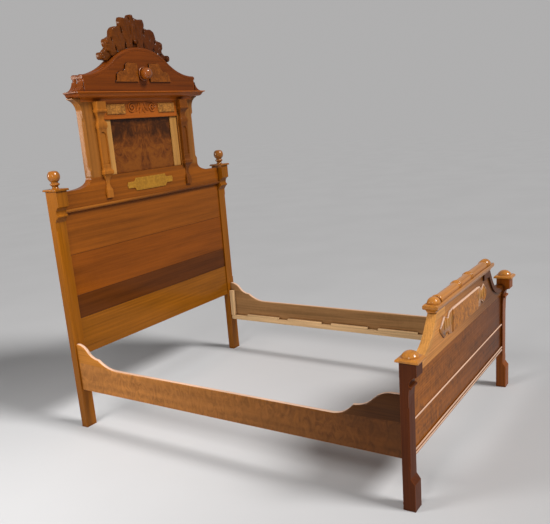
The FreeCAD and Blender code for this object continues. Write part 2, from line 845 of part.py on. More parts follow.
def cornice_bracket():
    """Right hollowed bracket under the end of the cornice, on the stile's edge."""
    start = (tower_half_width, cornice_low - bracket_height)
    end = (tower_half_width + bracket_length, cornice_low - cornice_lip)
    hollow_share = 0.17
    face = outline(front_of(head_y(tower_front)), start,
                   [arc_step(start, end, hollow_share), [(end[0], cornice_low)],
                    [(tower_half_width, cornice_low)]])
    return face.extrude(V(0, tower_thickness, 0))


def cornice_end_cove():
    """Right hollow on the cornice, where the two reeds of the pediment's end sweep outwards."""
    hollow_share = 0.19

    def hollow(sunk, depth_low, depth_high):
        start = (pediment_half_width, cornice_top + end_cove_height - sunk)
        end = (cornice_half - end_cove_reveal - sunk, cornice_top + end_cove_lip)
        face = outline(front_of(head_y(depth_high)), (pediment_half_width, cornice_top),
                       [[start], arc_step(start, end, -hollow_share), [(end[0], cornice_top)]])
        return face.extrude(V(0, depth_high - depth_low, 0))

    groove_low = tower_inset + reed_width
    groove_high = pediment_front - reed_width
    bands = [hollow(0, tower_inset, groove_low), hollow(reed_height, groove_low, groove_high)]
    return hollow(0, groove_high, pediment_front).fuse(bands).removeSplitter()


def pediment_top(inset):
    """Start and steps of the pediment's top edge, right to left, moved in by inset."""
    start, right = level_ogee((pediment_half_width, pediment_low_top), (0, pediment_crown),
                              pediment_break_share, inset)
    hollow, arch = right
    middle = hollow[-1]
    left = (-middle[0], middle[1])
    left_hollow = [(-hollow[0][0], hollow[0][1]), (-start[0], start[1])]
    return start, [hollow, [(0, pediment_crown - inset), left], left_hollow]


def reeded_section(place, thickness_top):
    """Section of the pediment's edge: two reeds with a groove between them."""
    back = tower_inset
    front = pediment_front
    low = thickness_top - edge_thickness
    reed_foot = thickness_top - reed_height
    first_end = back + reed_width
    second_start = front - reed_width
    steps = [[(front, low)], [(front, reed_foot)],
             [((second_start + front) / 2, thickness_top), (second_start, reed_foot)],
             [(first_end, reed_foot)], [((back + first_end) / 2, thickness_top), (back, reed_foot)]]
    return outline(place, (back, low), steps)


def pediment_edge_top():
    """Reeded moulding swept along the pediment's top edge."""
    start, steps = pediment_top(0)
    spine = Part.Wire(path(front_of(head_y(tower_inset)), start, steps))
    section = reeded_section(head_side(pediment_half_width), pediment_low_top)
    sweep = Part.BRepOffsetAPI.MakePipeShell(spine)
    sweep.setBiNormalMode(V(0, 1, 0))
    sweep.add(section.OuterWire)
    sweep.build()
    sweep.makeSolid()
    return sweep.shape()


def pediment_edge_end():
    """Right reeded moulding down the end of the pediment."""
    top = pediment_low_top - edge_thickness
    section = reeded_section(lambda depth, out: V(out, head_y(depth), cornice_top),
                             pediment_half_width)
    return section.extrude(V(0, 0, top - cornice_top))


def pediment_board():
    """Front board of the pediment, under the reeded edge."""
    start, steps = pediment_top(edge_thickness)
    end_x = pediment_half_width - edge_thickness
    face = outline(front_of(head_y(pediment_front)), (pediment_half_width, start[1]),
                   list(steps) + [[(-pediment_half_width, cornice_top)],
                                  [(pediment_half_width, cornice_top)]])
    board = face.extrude(V(0, pediment_board_thickness, 0))
    middle = block((-end_x, head_y(pediment_front) - overrun, cornice_top),
                   (end_x, head_back, pediment_crown))
    return board.common(middle)


def pediment_plaque():
    """Right half of the bell-shaped pair of veneered plaques beside the boss."""
    low = cornice_top + plaque_lift
    length = plaque_half_length - plaque_gap
    x_shares = (1.0, 0.93, 0.66, 0.52, 0.3)
    z_shares = (0.0, 0.3, 0.56, 0.9, 1.0)
    points = [(plaque_gap + length * x, low + plaque_height * z)
              for x, z in zip(x_shares, z_shares)]
    bend_share = 0.18
    steps = [[points[0]], arc_step(points[0], points[1], bend_share),
             arc_step(points[1], points[2], -bend_share), arc_step(points[2], points[3], bend_share),
             arc_step(points[3], points[4], -bend_share), [(plaque_gap, low + plaque_height)]]
    face = outline(front_of(head_y(pediment_front)), (plaque_gap, low), steps)
    boss_room = Part.makeCylinder(boss_ring_radius + joint_gap, 2 * plaque_thickness,
                                  boss_centre() + V(0, plaque_thickness / 2, 0), V(0, -1, 0))
    return face.extrude(V(0, -plaque_thickness, 0)).cut(boss_room)


def boss_centre():
    """Middle of the boss on the pediment's face."""
    return V(0, head_y(pediment_front), cornice_top + plaque_lift + plaque_height / 2
             - boss_ring_height)


def pediment_boss():
    """Turned boss: a ring and a ball that stands out of it."""
    centre = boss_centre()

    def place(radius, lift):
        return centre + V(radius, -lift, 0)

    dome_share = 0.2
    waist_share, lift_share = 0.8, 0.6      # the ball's lowest radius, and its middle above the ring
    ring_end = (boss_radius * waist_share, boss_ring_height)
    widest = (boss_radius, boss_ring_height + boss_radius * lift_share)
    crown = (0, widest[1] + boss_radius)
    under_share = level_share(boss_radius * lift_share, boss_radius - ring_end[0])
    over_share = level_share(boss_radius, boss_radius)
    ring_top = (boss_ring_radius, boss_ring_height * (1 - dome_share))
    steps = [[(boss_ring_radius, 0)], [ring_top], arc_step(ring_top, ring_end, -dome_share),
             arc_step(ring_end, widest, -under_share), arc_step(widest, crown, -over_share)]
    return turned(place, (0, 0), steps, centre, V(0, -1, 0), 360)


def crest_leaf(root, tip, width_share, face_y):
    """One carved leaf with sloping sides, on the face of the crest."""
    inner_share = 0.35
    run = (tip[0] - root[0]) * inner_share / 2
    rise = (tip[1] - root[1]) * inner_share / 2
    small_root = (root[0] + run, root[1] + rise)
    small_tip = (tip[0] - run, tip[1] - rise)

    def leaf(start, end, share, y):
        return Part.Wire(path(front_of(y), start, [arc_step(start, end, share),
                                                   arc_step(end, start, share)]))

    low = leaf(root, tip, width_share, face_y)
    high = leaf(small_root, small_tip, width_share * inner_share, face_y - crest_leaf_height)
    return Part.makeLoft([low, high], True, True)


def crest_carving():
    """Carved crest: a lobed board with scroll ends, its face leaning back under a fan of leaves."""
    foot = pediment_crown - crest_foot
    rise = crest_height + crest_foot

    def at(x_share, z_share):
        return (crest_half_width * x_share, foot + rise * z_share)

    lobe_shares = [((0.985, 0.03), (1.0, 0.085)), ((0.98, 0.14), (0.93, 0.151)),
                   ((0.885, 0.163), (0.84, 0.21)), ((0.805, 0.248), (0.796, 0.283)),
                   ((0.823, 0.372), (0.737, 0.453)), ((0.683, 0.488), (0.642, 0.527)),
                   ((0.587, 0.663), (0.475, 0.721)), ((0.393, 0.736), (0.328, 0.764)),
                   ((0.345, 0.849), (0.314, 0.926)), ((0.205, 0.919), (0.096, 0.946)),
                   ((0.055, 0.996), (0.0, 1.0))]
    seat = level_ogee((pediment_half_width, pediment_low_top), (0, pediment_crown),
                      pediment_break_share, -crest_seat_gap)[1]
    seat_break = seat[0][-1]
    arch_via, arch_end = seat[1]
    first_share = 0.92
    steps = [[at(first_share, 0)]] + [[at(*via), at(*end)] for via, end in lobe_shares]
    steps += [[arch_end], [arch_via, seat_break]]
    back_y = head_y(tower_inset + crest_inset)
    half = outline(front_of(back_y), seat_break, steps).extrude(V(0, -crest_thickness, 0))
    face_y = back_y - crest_thickness
    lean_share = 0.12
    lean_z = at(0, lean_share)[1]
    crest_top = foot + rise
    top_y = back_y - crest_top_thickness
    lean = outline(lambda y, z: V(-overrun, y, z), (face_y, lean_z),
                   [[(top_y, crest_top)], [(top_y, crest_top + overrun)],
                    [(face_y - overrun, crest_top + overrun)], [(face_y - overrun, lean_z)]])
    half = half.cut(lean.extrude(V(crest_half_width + 2 * overrun, 0, 0)))
    leaf_shares = [((0.1, 0.34), (0.26, 0.9), 0.17), ((0.16, 0.32), (0.5, 0.67), 0.17),
                   ((0.24, 0.29), (0.76, 0.38), 0.16), ((0.42, 0.26), (0.92, 0.12), 0.14)]
    leaves = [crest_leaf(at(*root), at(*tip), width, face_y) for root, tip, width in leaf_shares]
    bud_shares = ((0, 0.32), (0, 0.985))
    bud_width_share = 0.13
    bud = crest_leaf(at(*bud_shares[0]), at(*bud_shares[1]), bud_width_share, face_y)
    lean_angle = math.degrees(math.atan2(top_y - face_y, crest_top - lean_z))
    for leaf in leaves + [bud]:
        leaf.rotate(V(0, face_y, lean_z), V(-1, 0, 0), lean_angle)
    half = half.fuse(leaves)
    return half.fuse([mirrored(half), bud]).removeSplitter()


def foot_post():
    """Right foot post: foot, shaft, neck moulding, block, panel groove and hook slot."""
    cove_high = foot_post_height - foot_block_height
    bead_high = cove_high - foot_cove_height
    bead_low = bead_high - foot_bead_height
    shaft_top = bead_low - foot_taper_height
    shaft_low = foot_base_height + foot_base_slope
    steps = [[(foot_base_depth, 0)], [(foot_base_depth, foot_base_height)],
             [(foot_post_depth, shaft_low)]]
    steps += post_profile((foot_post_depth, foot_cove_depth, foot_bead_depth, foot_block_depth),
                          (shaft_top, bead_low, bead_high, cove_high, foot_post_height))
    post = outline(foot_side(foot_post_inner), (0, 0), steps).extrude(V(foot_post_width, 0, 0))
    groove = foot_block(foot_post_inner - overrun, foot_post_inner + tongue_length,
                        foot_panel_inset - tongue_clearance / 2,
                        foot_panel_inset + foot_panel_thickness + tongue_clearance / 2,
                        foot_panel_floor, arch_low + foot_ledge_rise - border_thickness)
    cutters = [groove, hook_slot(foot_face, -1, rail_middle)]
    cutters += [hook_pin(foot_face, -1, foot_post_inner, height) for height in hook_heights]
    cutters.append(stopped_chamfer(post_outer, foot_y(foot_post_depth), -1, 1,
                                   shaft_low + post_chamfer_stop, shaft_top - post_chamfer_stop,
                                   post_chamfer))
    return post.cut(cutters)


def foot_cap():
    """Right foot post's cap: square plate, sloped top and turned button."""
    low = foot_post_height
    plate_top = low + foot_cap_height
    x_low = foot_post_inner - foot_cap_overhang
    x_high = post_outer + foot_cap_overhang
    y_low = foot_y(foot_block_depth + foot_cap_overhang)
    y_high = foot_y(-foot_cap_overhang)
    plate = block((x_low, y_low, low), (x_high, y_high, plate_top))

    def square(inset, z):
        corners = [(x_low + inset, y_low + inset), (x_high - inset, y_low + inset),
                   (x_high - inset, y_high - inset)]
        start = (x_low + inset, y_high - inset)
        return Part.Wire(path(lambda x, y: V(x, y, z), start,
                              [[corner] for corner in corners] + [[start]]))

    slope_top = plate_top + foot_cap_slope
    slope = Part.makeLoft([square(0, plate_top), square(foot_cap_inset, slope_top)], True, True)
    centre_x = (foot_post_inner + post_outer) / 2
    centre_y = (y_low + y_high) / 2

    def place(radius, height):
        return V(centre_x + radius, centre_y, slope_top + height)

    rim_share = 0.25
    rim = (button_radius, button_height * rim_share)
    dome_share = level_share(button_radius, button_height - rim[1])
    steps = [[(button_radius, 0)], [rim], arc_step(rim, (0, button_height), -dome_share)]
    button = turned(place, (0, 0), steps, V(centre_x, centre_y, 0), V(0, 0, 1), 360)
    return plate.fuse([slope, button]).removeSplitter()


def foot_bottom_rail():
    """Rail along the lower edge of the footboard, with two beads on its face."""
    low = foot_panel_floor
    high = low + foot_bottom_rail_height
    back = foot_middle - foot_rail_thickness / 2
    front = foot_middle + foot_rail_thickness / 2
    bead = 2 * foot_bead_radius
    lower = low + foot_bottom_rail_height / 2 - bead
    upper = high - bead
    steps = [[(front, low)], [(front, lower)],
             [(front + foot_bead_radius, lower + foot_bead_radius), (front, lower + bead)],
             [(front, upper)], [(front + foot_bead_radius, upper + foot_bead_radius), (front, high)],
             [(back, high)]]
    rail = outline(foot_side(-foot_post_inner), (back, low), steps)
    rail = rail.extrude(V(2 * foot_post_inner, 0, 0))
    return with_foot_tongues(rail, low, high)


def with_foot_tongues(board, z_low, z_high):
    """Add the tongues that enter the foot posts' grooves."""
    reach = foot_post_inner + tongue_length - tongue_clearance
    tongue = foot_block(-reach, reach, foot_panel_inset, foot_panel_inset + foot_panel_thickness,
                        z_low, z_high)
    return board.fuse(tongue).removeSplitter()


def foot_board(z_low, z_high):
    """One thin board of the footboard's panel."""
    reach = foot_post_inner + tongue_length - tongue_clearance
    return foot_block(-reach, reach, foot_panel_inset, foot_panel_inset + foot_panel_thickness,
                      z_low, z_high)


def foot_lower_board():
    """Lower panel board, a bead worked on the front of its upper edge."""
    z_low = foot_panel_floor + foot_bottom_rail_height
    board = foot_board(z_low, foot_bead_line)
    front = foot_panel_inset + foot_panel_thickness
    middle = foot_bead_line - foot_bead_radius
    start = (front, foot_bead_line)
    bead = outline(foot_side(-foot_post_inner), start,
                   [[(front + foot_bead_radius, middle), (front, middle - foot_bead_radius)]])
    return board.fuse(bead.extrude(V(2 * foot_post_inner, 0, 0))).removeSplitter()


def border_path(inset):
    """Start and steps of the right end's border, from the post up, moved in by inset."""
    turn = math.radians(foot_curve_turn)
    ledge = arch_low + foot_ledge_rise
    centre = (foot_post_inner - foot_ledge_length, ledge + foot_curve_radius)
    radius = foot_curve_radius + inset

    def on_curve(angle):
        return (centre[0] - radius * math.sin(angle), centre[1] - radius * math.cos(angle))

    curve_end = on_curve(turn)
    top_x = curve_end[0] - (arch_top - curve_end[1]) * math.cos(turn) / math.sin(turn)
    return (foot_post_inner, ledge - inset), [[on_curve(0)], [on_curve(turn / 2), curve_end],
                                              [(top_x, arch_top)]]


def arch_board():
    """Arched board of the footboard, its ends hollowed under the border."""
    start, steps = border_path(border_thickness)
    top = steps[-1][-1]
    left_steps = []
    here = start
    for step in steps:
        left_steps.insert(0, [(-x, z) for x, z in list(reversed(step[:-1])) + [here]])
        here = step[-1]
    all_steps = [[start]] + steps + [[(-top[0], top[1])]] + left_steps
    all_steps.append([(-foot_post_inner, arch_low)])
    back = foot_middle - arch_board_thickness / 2
    face = outline(front_of(foot_y(back)), (foot_post_inner, arch_low), all_steps)
    board = face.extrude(V(0, -arch_board_thickness, 0))
    ear = ear_shape(overrun)
    board = board.cut([ear, mirrored(ear)])
    board = with_foot_tongues(board, arch_low, start[1])
    reach = foot_post_inner + tongue_length + overrun
    groove = foot_block(-reach, reach, foot_panel_inset - tongue_clearance / 2,
                        foot_panel_inset + foot_panel_thickness + tongue_clearance / 2,
                        arch_low - overrun, arch_low + tongue_length)
    return board.cut(groove)


def ear_shape(extra):
    """Square ear at the inner upper end of a border, over the board's whole thickness."""
    inner_top = border_path(border_thickness)[1][-1][-1]
    return foot_block(inner_top[0] - ear_length, inner_top[0] + ear_length,
                      foot_middle - border_depth / 2 - extra,
                      foot_middle + border_depth / 2 + extra,
                      arch_top - ear_height, arch_top)


def foot_border():
    """Right border moulding: follows the hollow end and turns in to an ear."""
    start, steps = border_path(0)
    inner_start, inner_steps = border_path(border_thickness)
    back_steps = []
    here = inner_start
    for step in inner_steps:
        back_steps.insert(0, list(reversed(step[:-1])) + [here])
        here = step[-1]
    place = front_of(foot_y(foot_middle - border_depth / 2))
    border = outline(place, start, steps + [[inner_steps[-1][-1]]] + back_steps)
    border = border.extrude(V(0, -border_depth, 0))
    outer = outline(place, start, steps + [[(0, arch_top)], [(0, inner_start[1])], [inner_start]])
    ear = ear_shape(0).common(outer.extrude(V(0, -border_depth, 0)))
    return border.fuse(ear).removeSplitter()


def foot_top_rail():
    """Shelf-like top rail with a cove worked under its front, back and ends."""
    low = arch_top
    cove_top = low + top_rail_cove_height
    top = top_rail_top
    hollow_share = 0.2

    def half(size, narrow):
        start = (narrow, low)
        end = (size - top_rail_nose, cove_top)
        return [[start], arc_step(start, end, hollow_share),
                [(size, (cove_top + top) / 2), (size - top_rail_nose, top)], [(0, top)]]

    def whole(place, size, narrow, along):
        right = outline(lambda s, z: place(s, z), (0, low), half(size, narrow)).extrude(along)
        left = outline(lambda s, z: place(-s, z), (0, low), half(size, narrow)).extrude(along)
        return right.fuse(left)

    middle_y = foot_y(foot_middle)
    depth_half = top_rail_depth / 2
    under = border_depth / 2
    end_step = depth_half - under
    across = whole(lambda s, z: V(-top_rail_half_length - overrun, middle_y + s, z), depth_half,
                   under, V(2 * top_rail_half_length + 2 * overrun, 0, 0))
    along = whole(lambda s, z: V(s, middle_y - depth_half - overrun, z), top_rail_half_length,
                  top_rail_half_length - end_step, V(0, top_rail_depth + 2 * overrun, 0))
    return across.common(along).removeSplitter()


def foot_top_roll():
    """Half-round turned roll on the top rail, with rings and a ball at each end."""
    middle_y = foot_y(foot_middle)
    end_ring = roll_half_length - roll_ball_length - roll_ring_width
    pair_start = roll_middle_ring - roll_ring_gap / 2 - roll_ring_width
    rings = [pair_start, roll_middle_ring + roll_ring_gap / 2, end_ring]
    steps = [[(0, roll_radius)]]
    for start in rings:
        steps.append([(start, roll_radius)])
        steps.append([(start + roll_ring_width / 2, roll_ring_radius),
                      (start + roll_ring_width, roll_radius)])
    ball_start = (end_ring + roll_ring_width, roll_tip_radius)
    ball_side = (roll_half_length - roll_ball_length / 2, roll_ball_radius)
    ball_end = (roll_half_length, roll_tip_radius)
    ball_share = level_share(roll_ball_length / 2, roll_ball_radius - roll_tip_radius)
    steps += [[ball_start], arc_step(ball_start, ball_side, ball_share),
              arc_step(ball_side, ball_end, ball_share), [(roll_half_length, 0)]]
    right = turned(lambda x, radius: V(x, middle_y + radius, top_rail_top), (0, 0), steps,
                   V(0, middle_y, top_rail_top), V(1, 0, 0), 180)
    return right.fuse(mirrored(right)).removeSplitter()


def foot_plaque():
    """Veneered plaque on the arched board, with fish-tail ends."""
    field = foot_plaque_half_length * foot_plaque_field_share
    half = foot_plaque_height / 2
    middle = arch_low + foot_plaque_lift + half
    front = foot_middle + arch_board_thickness / 2
    tail = foot_plaque_half_length - field
    tail_shares = ((0.26, 0.9), (0.4, 0.5), (0.69, 0.86), (1.0, 0.12))
    upper = [(field, middle + half)]
    upper += [(field + tail * x, middle + half * z) for x, z in tail_shares]
    right = upper + [(x, 2 * middle - z) for x, z in reversed(upper)]
    points = right + [(-x, z) for x, z in reversed(right)]

    def place(lift):
        return front_of(foot_y(front + lift))

    return bevelled_plate(place, points[0], [[point] for point in points[1:]],
                          foot_plaque_thickness, foot_plaque_bevel, (0, middle))


def side_rail():
    """Right side rail: at each end a hollow rises to a cusp, then an ogee; pocketed for the hooks."""
    low = rail_floor
    waist = rail_floor + rail_low_height
    head_top = (rail_head_end, rail_floor + rail_head_height)
    head_cusp = (rail_head_end - rail_head_cusp, waist + rail_head_cusp_rise)
    head_low = (rail_head_end - rail_head_curve, waist)
    head_share = level_share(rail_head_curve - rail_head_cusp, rail_head_cusp_rise)
    foot_low = (rail_foot_end + rail_foot_curve, waist)
    foot_cusp = (rail_foot_end + rail_foot_cusp, waist + rail_foot_cusp_rise)
    foot_top = (rail_foot_end + rail_foot_flat, rail_floor + rail_foot_height)
    foot_share = level_share(rail_foot_curve - rail_foot_cusp, rail_foot_cusp_rise)
    steps = [[head_top]] + level_ogee(head_top, head_cusp, rail_break_share, 0)[1]
    steps += [arc_step(head_cusp, head_low, head_share), [foot_low]]
    steps += [arc_step(foot_low, foot_cusp, foot_share)]
    steps += level_ogee(foot_cusp, foot_top, rail_break_share, 0)[1]
    steps += [[(rail_foot_end, foot_top[1])], [(rail_foot_end, low)]]
    face = outline(lambda y, z: V(rail_inner, y, z), (rail_head_end, low), steps)
    rail = face.extrude(V(rail_thickness, 0, 0))
    return rail.cut([hook_plate(rail_head_end, 1), hook_plate(rail_foot_end, -1)])


def hook_plate(rail_end, out):
    """Iron plate let into a rail's end, its face flush with the end."""
    low = hook_heights[0] - hook_leg - hook_plate_margin
    high = hook_heights[-1] + hook_crown + hook_plate_margin
    inner = rail_end - out * hook_plate_thickness
    half = hook_plate_width / 2
    return block((rail_middle - half, min(inner, rail_end), low),
                 (rail_middle + half, max(inner, rail_end), high))


def hook_tongue(rail_end, out, height):
    """One hook: a tongue with a slot below that drops over its pin."""
    pin = hook_pin_reach + joint_gap
    slot = hook_pin_diameter / 2 + joint_gap
    low = height - hook_leg
    high = height + hook_crown

    def place(reach, z):
        return V(rail_middle - hook_thickness / 2, rail_end + out * reach, z)

    steps = [[(pin - slot, low)], [(pin - slot, height)],
             [(pin, height + slot), (pin + slot, height)], [(pin + slot, low)],
             [(hook_reach, low)], [(hook_reach, high)], [(0, high)]]
    return outline(place, (0, low), steps).extrude(V(hook_thickness, 0, 0))


def rail_hooks():
    """Hook plates of both ends of the right rail, each plate with its two hooks."""
    plates = []
    for rail_end, out in ((rail_head_end, 1), (rail_foot_end, -1)):
        hooks = [hook_tongue(rail_end, out, height) for height in hook_heights]
        plates.append(hook_plate(rail_end, out).fuse(hooks).removeSplitter())
    return Part.Compound(plates)


def slat_ledger():
    """Right ledger strip along the inside of the rail, for the slats."""
    return block((rail_inner - ledger_thickness, rail_foot_end, rail_floor),
                 (rail_inner, rail_head_end, rail_floor + ledger_height))


def slat_spacers():
    """Blocks on the right ledger that leave a gap for each slat."""
    low = rail_floor + ledger_height
    first = rail_head_end - slat_gap_end
    pitch = (rail_head_end - rail_foot_end - 2 * slat_gap_end) / (slat_gaps - 1)
    blocks = []
    for index in range(slat_gaps - 1):
        far = first - index * pitch - slat_gap_width / 2
        near = first - (index + 1) * pitch + slat_gap_width / 2
        blocks.append(block((rail_inner - ledger_thickness, near, low),
                            (rail_inner, far, low + spacer_height)))
    return Part.Compound(blocks)


def end_blocks():
    """Upright glue blocks inside both ends of the right rail, on the ledger."""
    low = rail_floor + ledger_height
    x_low = rail_inner - end_block_thickness
    head = block((x_low, rail_head_end - end_block_width, low),
                 (rail_inner, rail_head_end, low + end_block_height))
    foot = block((x_low, rail_foot_end, low),
                 (rail_inner, rail_foot_end + end_block_width, low + end_block_height))
    return Part.Compound([head, foot])


def hook_pins():
    """All the iron pins that the rails hang on."""
    pins = []
    for height in hook_heights:
        pins.append(hook_pin(head_face, 1, head_post_inner, height))
        pins.append(hook_pin(foot_face, -1, foot_post_inner, height))
    return Part.Compound(pins + [mirrored(pin) for pin in pins])


def all_pieces():
    """Every node of the bed by name."""
    pieces = {}
    paired = {"head_post": head_post(), "head_cap": head_cap(), "head_finial": head_finial(),
              "tower_stile": tower_stile(), "panel_strip": panel_strip(), "pilaster": pilaster(),
              "foot_post": foot_post(), "foot_cap": foot_cap(), "foot_border": foot_border(),
              "side_rail": side_rail(), "slat_ledger": slat_ledger(),
              "slat_spacers": slat_spacers(), "end_blocks": end_blocks(),
              "rail_hooks": rail_hooks()}
    cornice_run, cornice_return = cornice_mouldings()
    paired["cornice_return"] = cornice_return
    for name, shape in paired.items():
        pieces[name + "_right"] = shape
        pieces[name + "_left"] = mirrored(shape)
    pieces.update(head_boards())
    pieces["panel_moulding"] = panel_moulding()
    pieces["shoulder_board"] = shoulder_board()
    pieces["shoulder_cartouche"] = shoulder_cartouche()
    pieces["frieze_rail"] = frieze_rail()
    pieces["frieze_tablets"] = both(frieze_tablet())
    pieces["frieze_scroll"] = frieze_scroll()
    pieces["burl_panel"] = burl_panel()
    pieces["cornice_front"] = cornice_run
    pieces["cornice_shelf"] = cornice_shelf()
    pieces["cornice_bed_mould"] = cornice_bed_mould()
    pieces["cornice_brackets"] = both(cornice_bracket())
    pieces["cornice_end_coves"] = both(cornice_end_cove())
    pieces["pediment_board"] = pediment_board()
    pieces["pediment_edge_top"] = pediment_edge_top()
    pieces["pediment_edge_ends"] = both(pediment_edge_end())
    pieces["pediment_plaques"] = both(pediment_plaque())
    pieces["pediment_boss"] = pediment_boss()
    pieces["crest_carving"] = crest_carving()
    pieces["foot_bottom_rail"] = foot_bottom_rail()
    pieces["foot_board_lower"] = foot_lower_board()
    pieces["foot_board_upper"] = foot_board(foot_bead_line,
                                            arch_low + tongue_length - tongue_clearance)
    pieces["arch_board"] = arch_board()
    pieces["foot_top_rail"] = foot_top_rail()
    pieces["foot_top_roll"] = foot_top_roll()
    pieces["foot_plaque"] = foot_plaque()
    pieces["hook_pins"] = hook_pins()
    return pieces


os.makedirs("parts", exist_ok=True)
for piece_name, piece in all_pieces().items():
    piece.exportStep("parts/" + piece_name + ".step")
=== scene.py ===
"""Dresses the frame of a carved walnut bed: its woods, carving, iron and the studio round it."""

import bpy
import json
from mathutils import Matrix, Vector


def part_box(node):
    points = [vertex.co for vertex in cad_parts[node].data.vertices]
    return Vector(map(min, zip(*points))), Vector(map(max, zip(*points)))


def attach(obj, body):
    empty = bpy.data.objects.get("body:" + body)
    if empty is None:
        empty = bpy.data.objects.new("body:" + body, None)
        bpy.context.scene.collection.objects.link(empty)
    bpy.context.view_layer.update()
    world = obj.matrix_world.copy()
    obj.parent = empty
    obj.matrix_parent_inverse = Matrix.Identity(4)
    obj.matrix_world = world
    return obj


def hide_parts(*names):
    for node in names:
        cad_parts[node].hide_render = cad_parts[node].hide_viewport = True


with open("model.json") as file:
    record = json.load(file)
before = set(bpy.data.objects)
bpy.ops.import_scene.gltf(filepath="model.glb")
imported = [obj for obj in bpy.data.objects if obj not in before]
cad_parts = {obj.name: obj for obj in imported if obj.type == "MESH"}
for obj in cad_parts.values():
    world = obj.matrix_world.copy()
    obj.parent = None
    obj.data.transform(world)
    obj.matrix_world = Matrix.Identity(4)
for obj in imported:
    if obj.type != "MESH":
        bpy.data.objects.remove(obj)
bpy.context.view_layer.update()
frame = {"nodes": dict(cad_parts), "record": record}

import json
import math

import bmesh
import bpy
import numpy as np
from mathutils import Vector

bl_info = {
    "name": "Carved walnut bed",
    "version": (1, 0, 0),
    "blender": (4, 5, 0),
    "location": "3D View > Sidebar > Bed",
    "description": "Woods, carving, iron and studio for the bed's solid frame",
    "category": "Object",
}

mm = 0.001
white = (1, 1, 1, 1)
one_point = 0.01 * mm               # points nearer than this are merged
sharp_angle = math.radians(35)
carved_angle = math.radians(75)     # the crest is smooth but for its outline
wave_period = 2 * math.pi / 20      # one period of the wave texture at scale 1
sides = ("left", "right")
body_of = {name: body for body, names in frame["record"]["behaviour"]["bodies"].items()
           for name in names}

# Looks of the tones that aren't plain walnut
plain_curl = 0.08
curls = {"rail": 0.7, "foot": 0.5}
plain_contrast = 0.5
contrasts = {"foot": 0.8, "carved": 0.35}
plain_coat = 0.25
polished_coat = 0.9
polished = ("finial", "roll", "boss")
# Painted shade in the hollows: 1 leaves it as it is, less makes it darker, as on the crest
plain_hollow_shade = 1.0
deep_hollow_shade = {"carved": 0.2}
burl_depths = {"bell": 0.4, "yellow": 0.15, "tablet": 0.6, "plaque": 0.5}
# Painted shade: boards darken along an axis as the light falls off, from and to a place in metres, and the
# share of light left there
shade_falloffs = {"rail": ("Y", 0.7, -0.8, 0.25), "rail_end": ("Y", 0.9, -0.8, 0.14),
         "arch": ("X", -0.4, 0.4, 0.27), "foot": ("X", -0.75, 0.65, 0.36),
         "foot_post": ("X", 0.7, -0.7, 0.36), "pilaster": ("X", -0.3, 0.3, 0.5),
         "carved": ("X", -0.28, 0.12, 0.6)}
shade_falloff_tint = (1.0, 0.82, 0.66)      # the painted shade is redder than the wood it darkens

# Leaves of the frieze in mm: root from the middle and the top, tip from the middle and the bottom,
# width and rise
frieze_leaves = ((5, 8, 26, 0, 24, 7), (22, 10, 52, 12, 18, 6))
# Leaves of the crest: root and tip as shares of its half width and height, bow and half width in mm,
# share of the full rise, lift of the tip in mm, and the share of its length where it is widest
crest_leaves = (((0.60, 0.14), (0.80, 0.46), 6, 38, 0.65, 4, 0.6),
                ((0.38, 0.17), (0.58, 0.75), 12, 55, 0.8, 5, 0.7),
                ((0.15, 0.24), (0.24, 1.0), 8, 44, 1.0, 8, 0.8))


def linear(code):
    """sRGB hex to the linear colour that Blender's sockets take."""
    parts = [int(code[i:i + 2], 16) / 255 for i in (1, 3, 5)]
    return [c / 12.92 if c <= 0.04045 else ((c + 0.055) / 1.055) ** 2.4 for c in parts]


def colour(label, words, code):
    return bpy.props.FloatVectorProperty(name=label, description=words, subtype="COLOR", size=3,
                                         min=0, max=1, default=linear(code))


def length(label, words, millimetres):
    return bpy.props.FloatProperty(name=label, description=words, unit="LENGTH", min=0,
                                   default=millimetres * mm)


class BedSizes(bpy.types.PropertyGroup):
    """Sizes of the hand work."""
    board_edge: length("Board edge", "Rounding of sawn and planed edges", 1.8)
    moulding_edge: length("Moulding edge", "Rounding of moulded and turned edges", 0.8)
    plaque_edge: length("Plaque edge", "Chamfer round a veneered plaque", 3.5)
    leaf_rise: length("Leaf rise", "How far the crest's leaves stand off its ground", 15)
    scroll_bead: length("Scroll bead", "Radius of the scrolls on the frieze", 5.5)
    plaque_field: length("Plaque field", "Half width of the footboard plaque's burl field", 199)
    reed_width: length("Reed width", "Width of a reed on the footboard plaque", 14)
    reed_length: length("Reed length", "Length of a reed on the footboard plaque", 50)
    reed_pitch: length("Reed pitch", "Distance from reed to reed", 31)
    reeds: bpy.props.IntProperty(name="Reeds", description="Reeds at each end of the plaque",
                                 min=1, max=4, default=4)
    rail_round: length("Rail rounding", "Rounding of the rails' upper arrises", 8.0)
    rail_seam: length("Rail seam", "Height of the glue line under the raised ends of a side rail", 395)
    slat_gap: length("Slat gap", "Room for a slat between two spacer blocks", 76)
    unevenness: length("Unevenness", "How far the spacer blocks are out of line", 1.0)


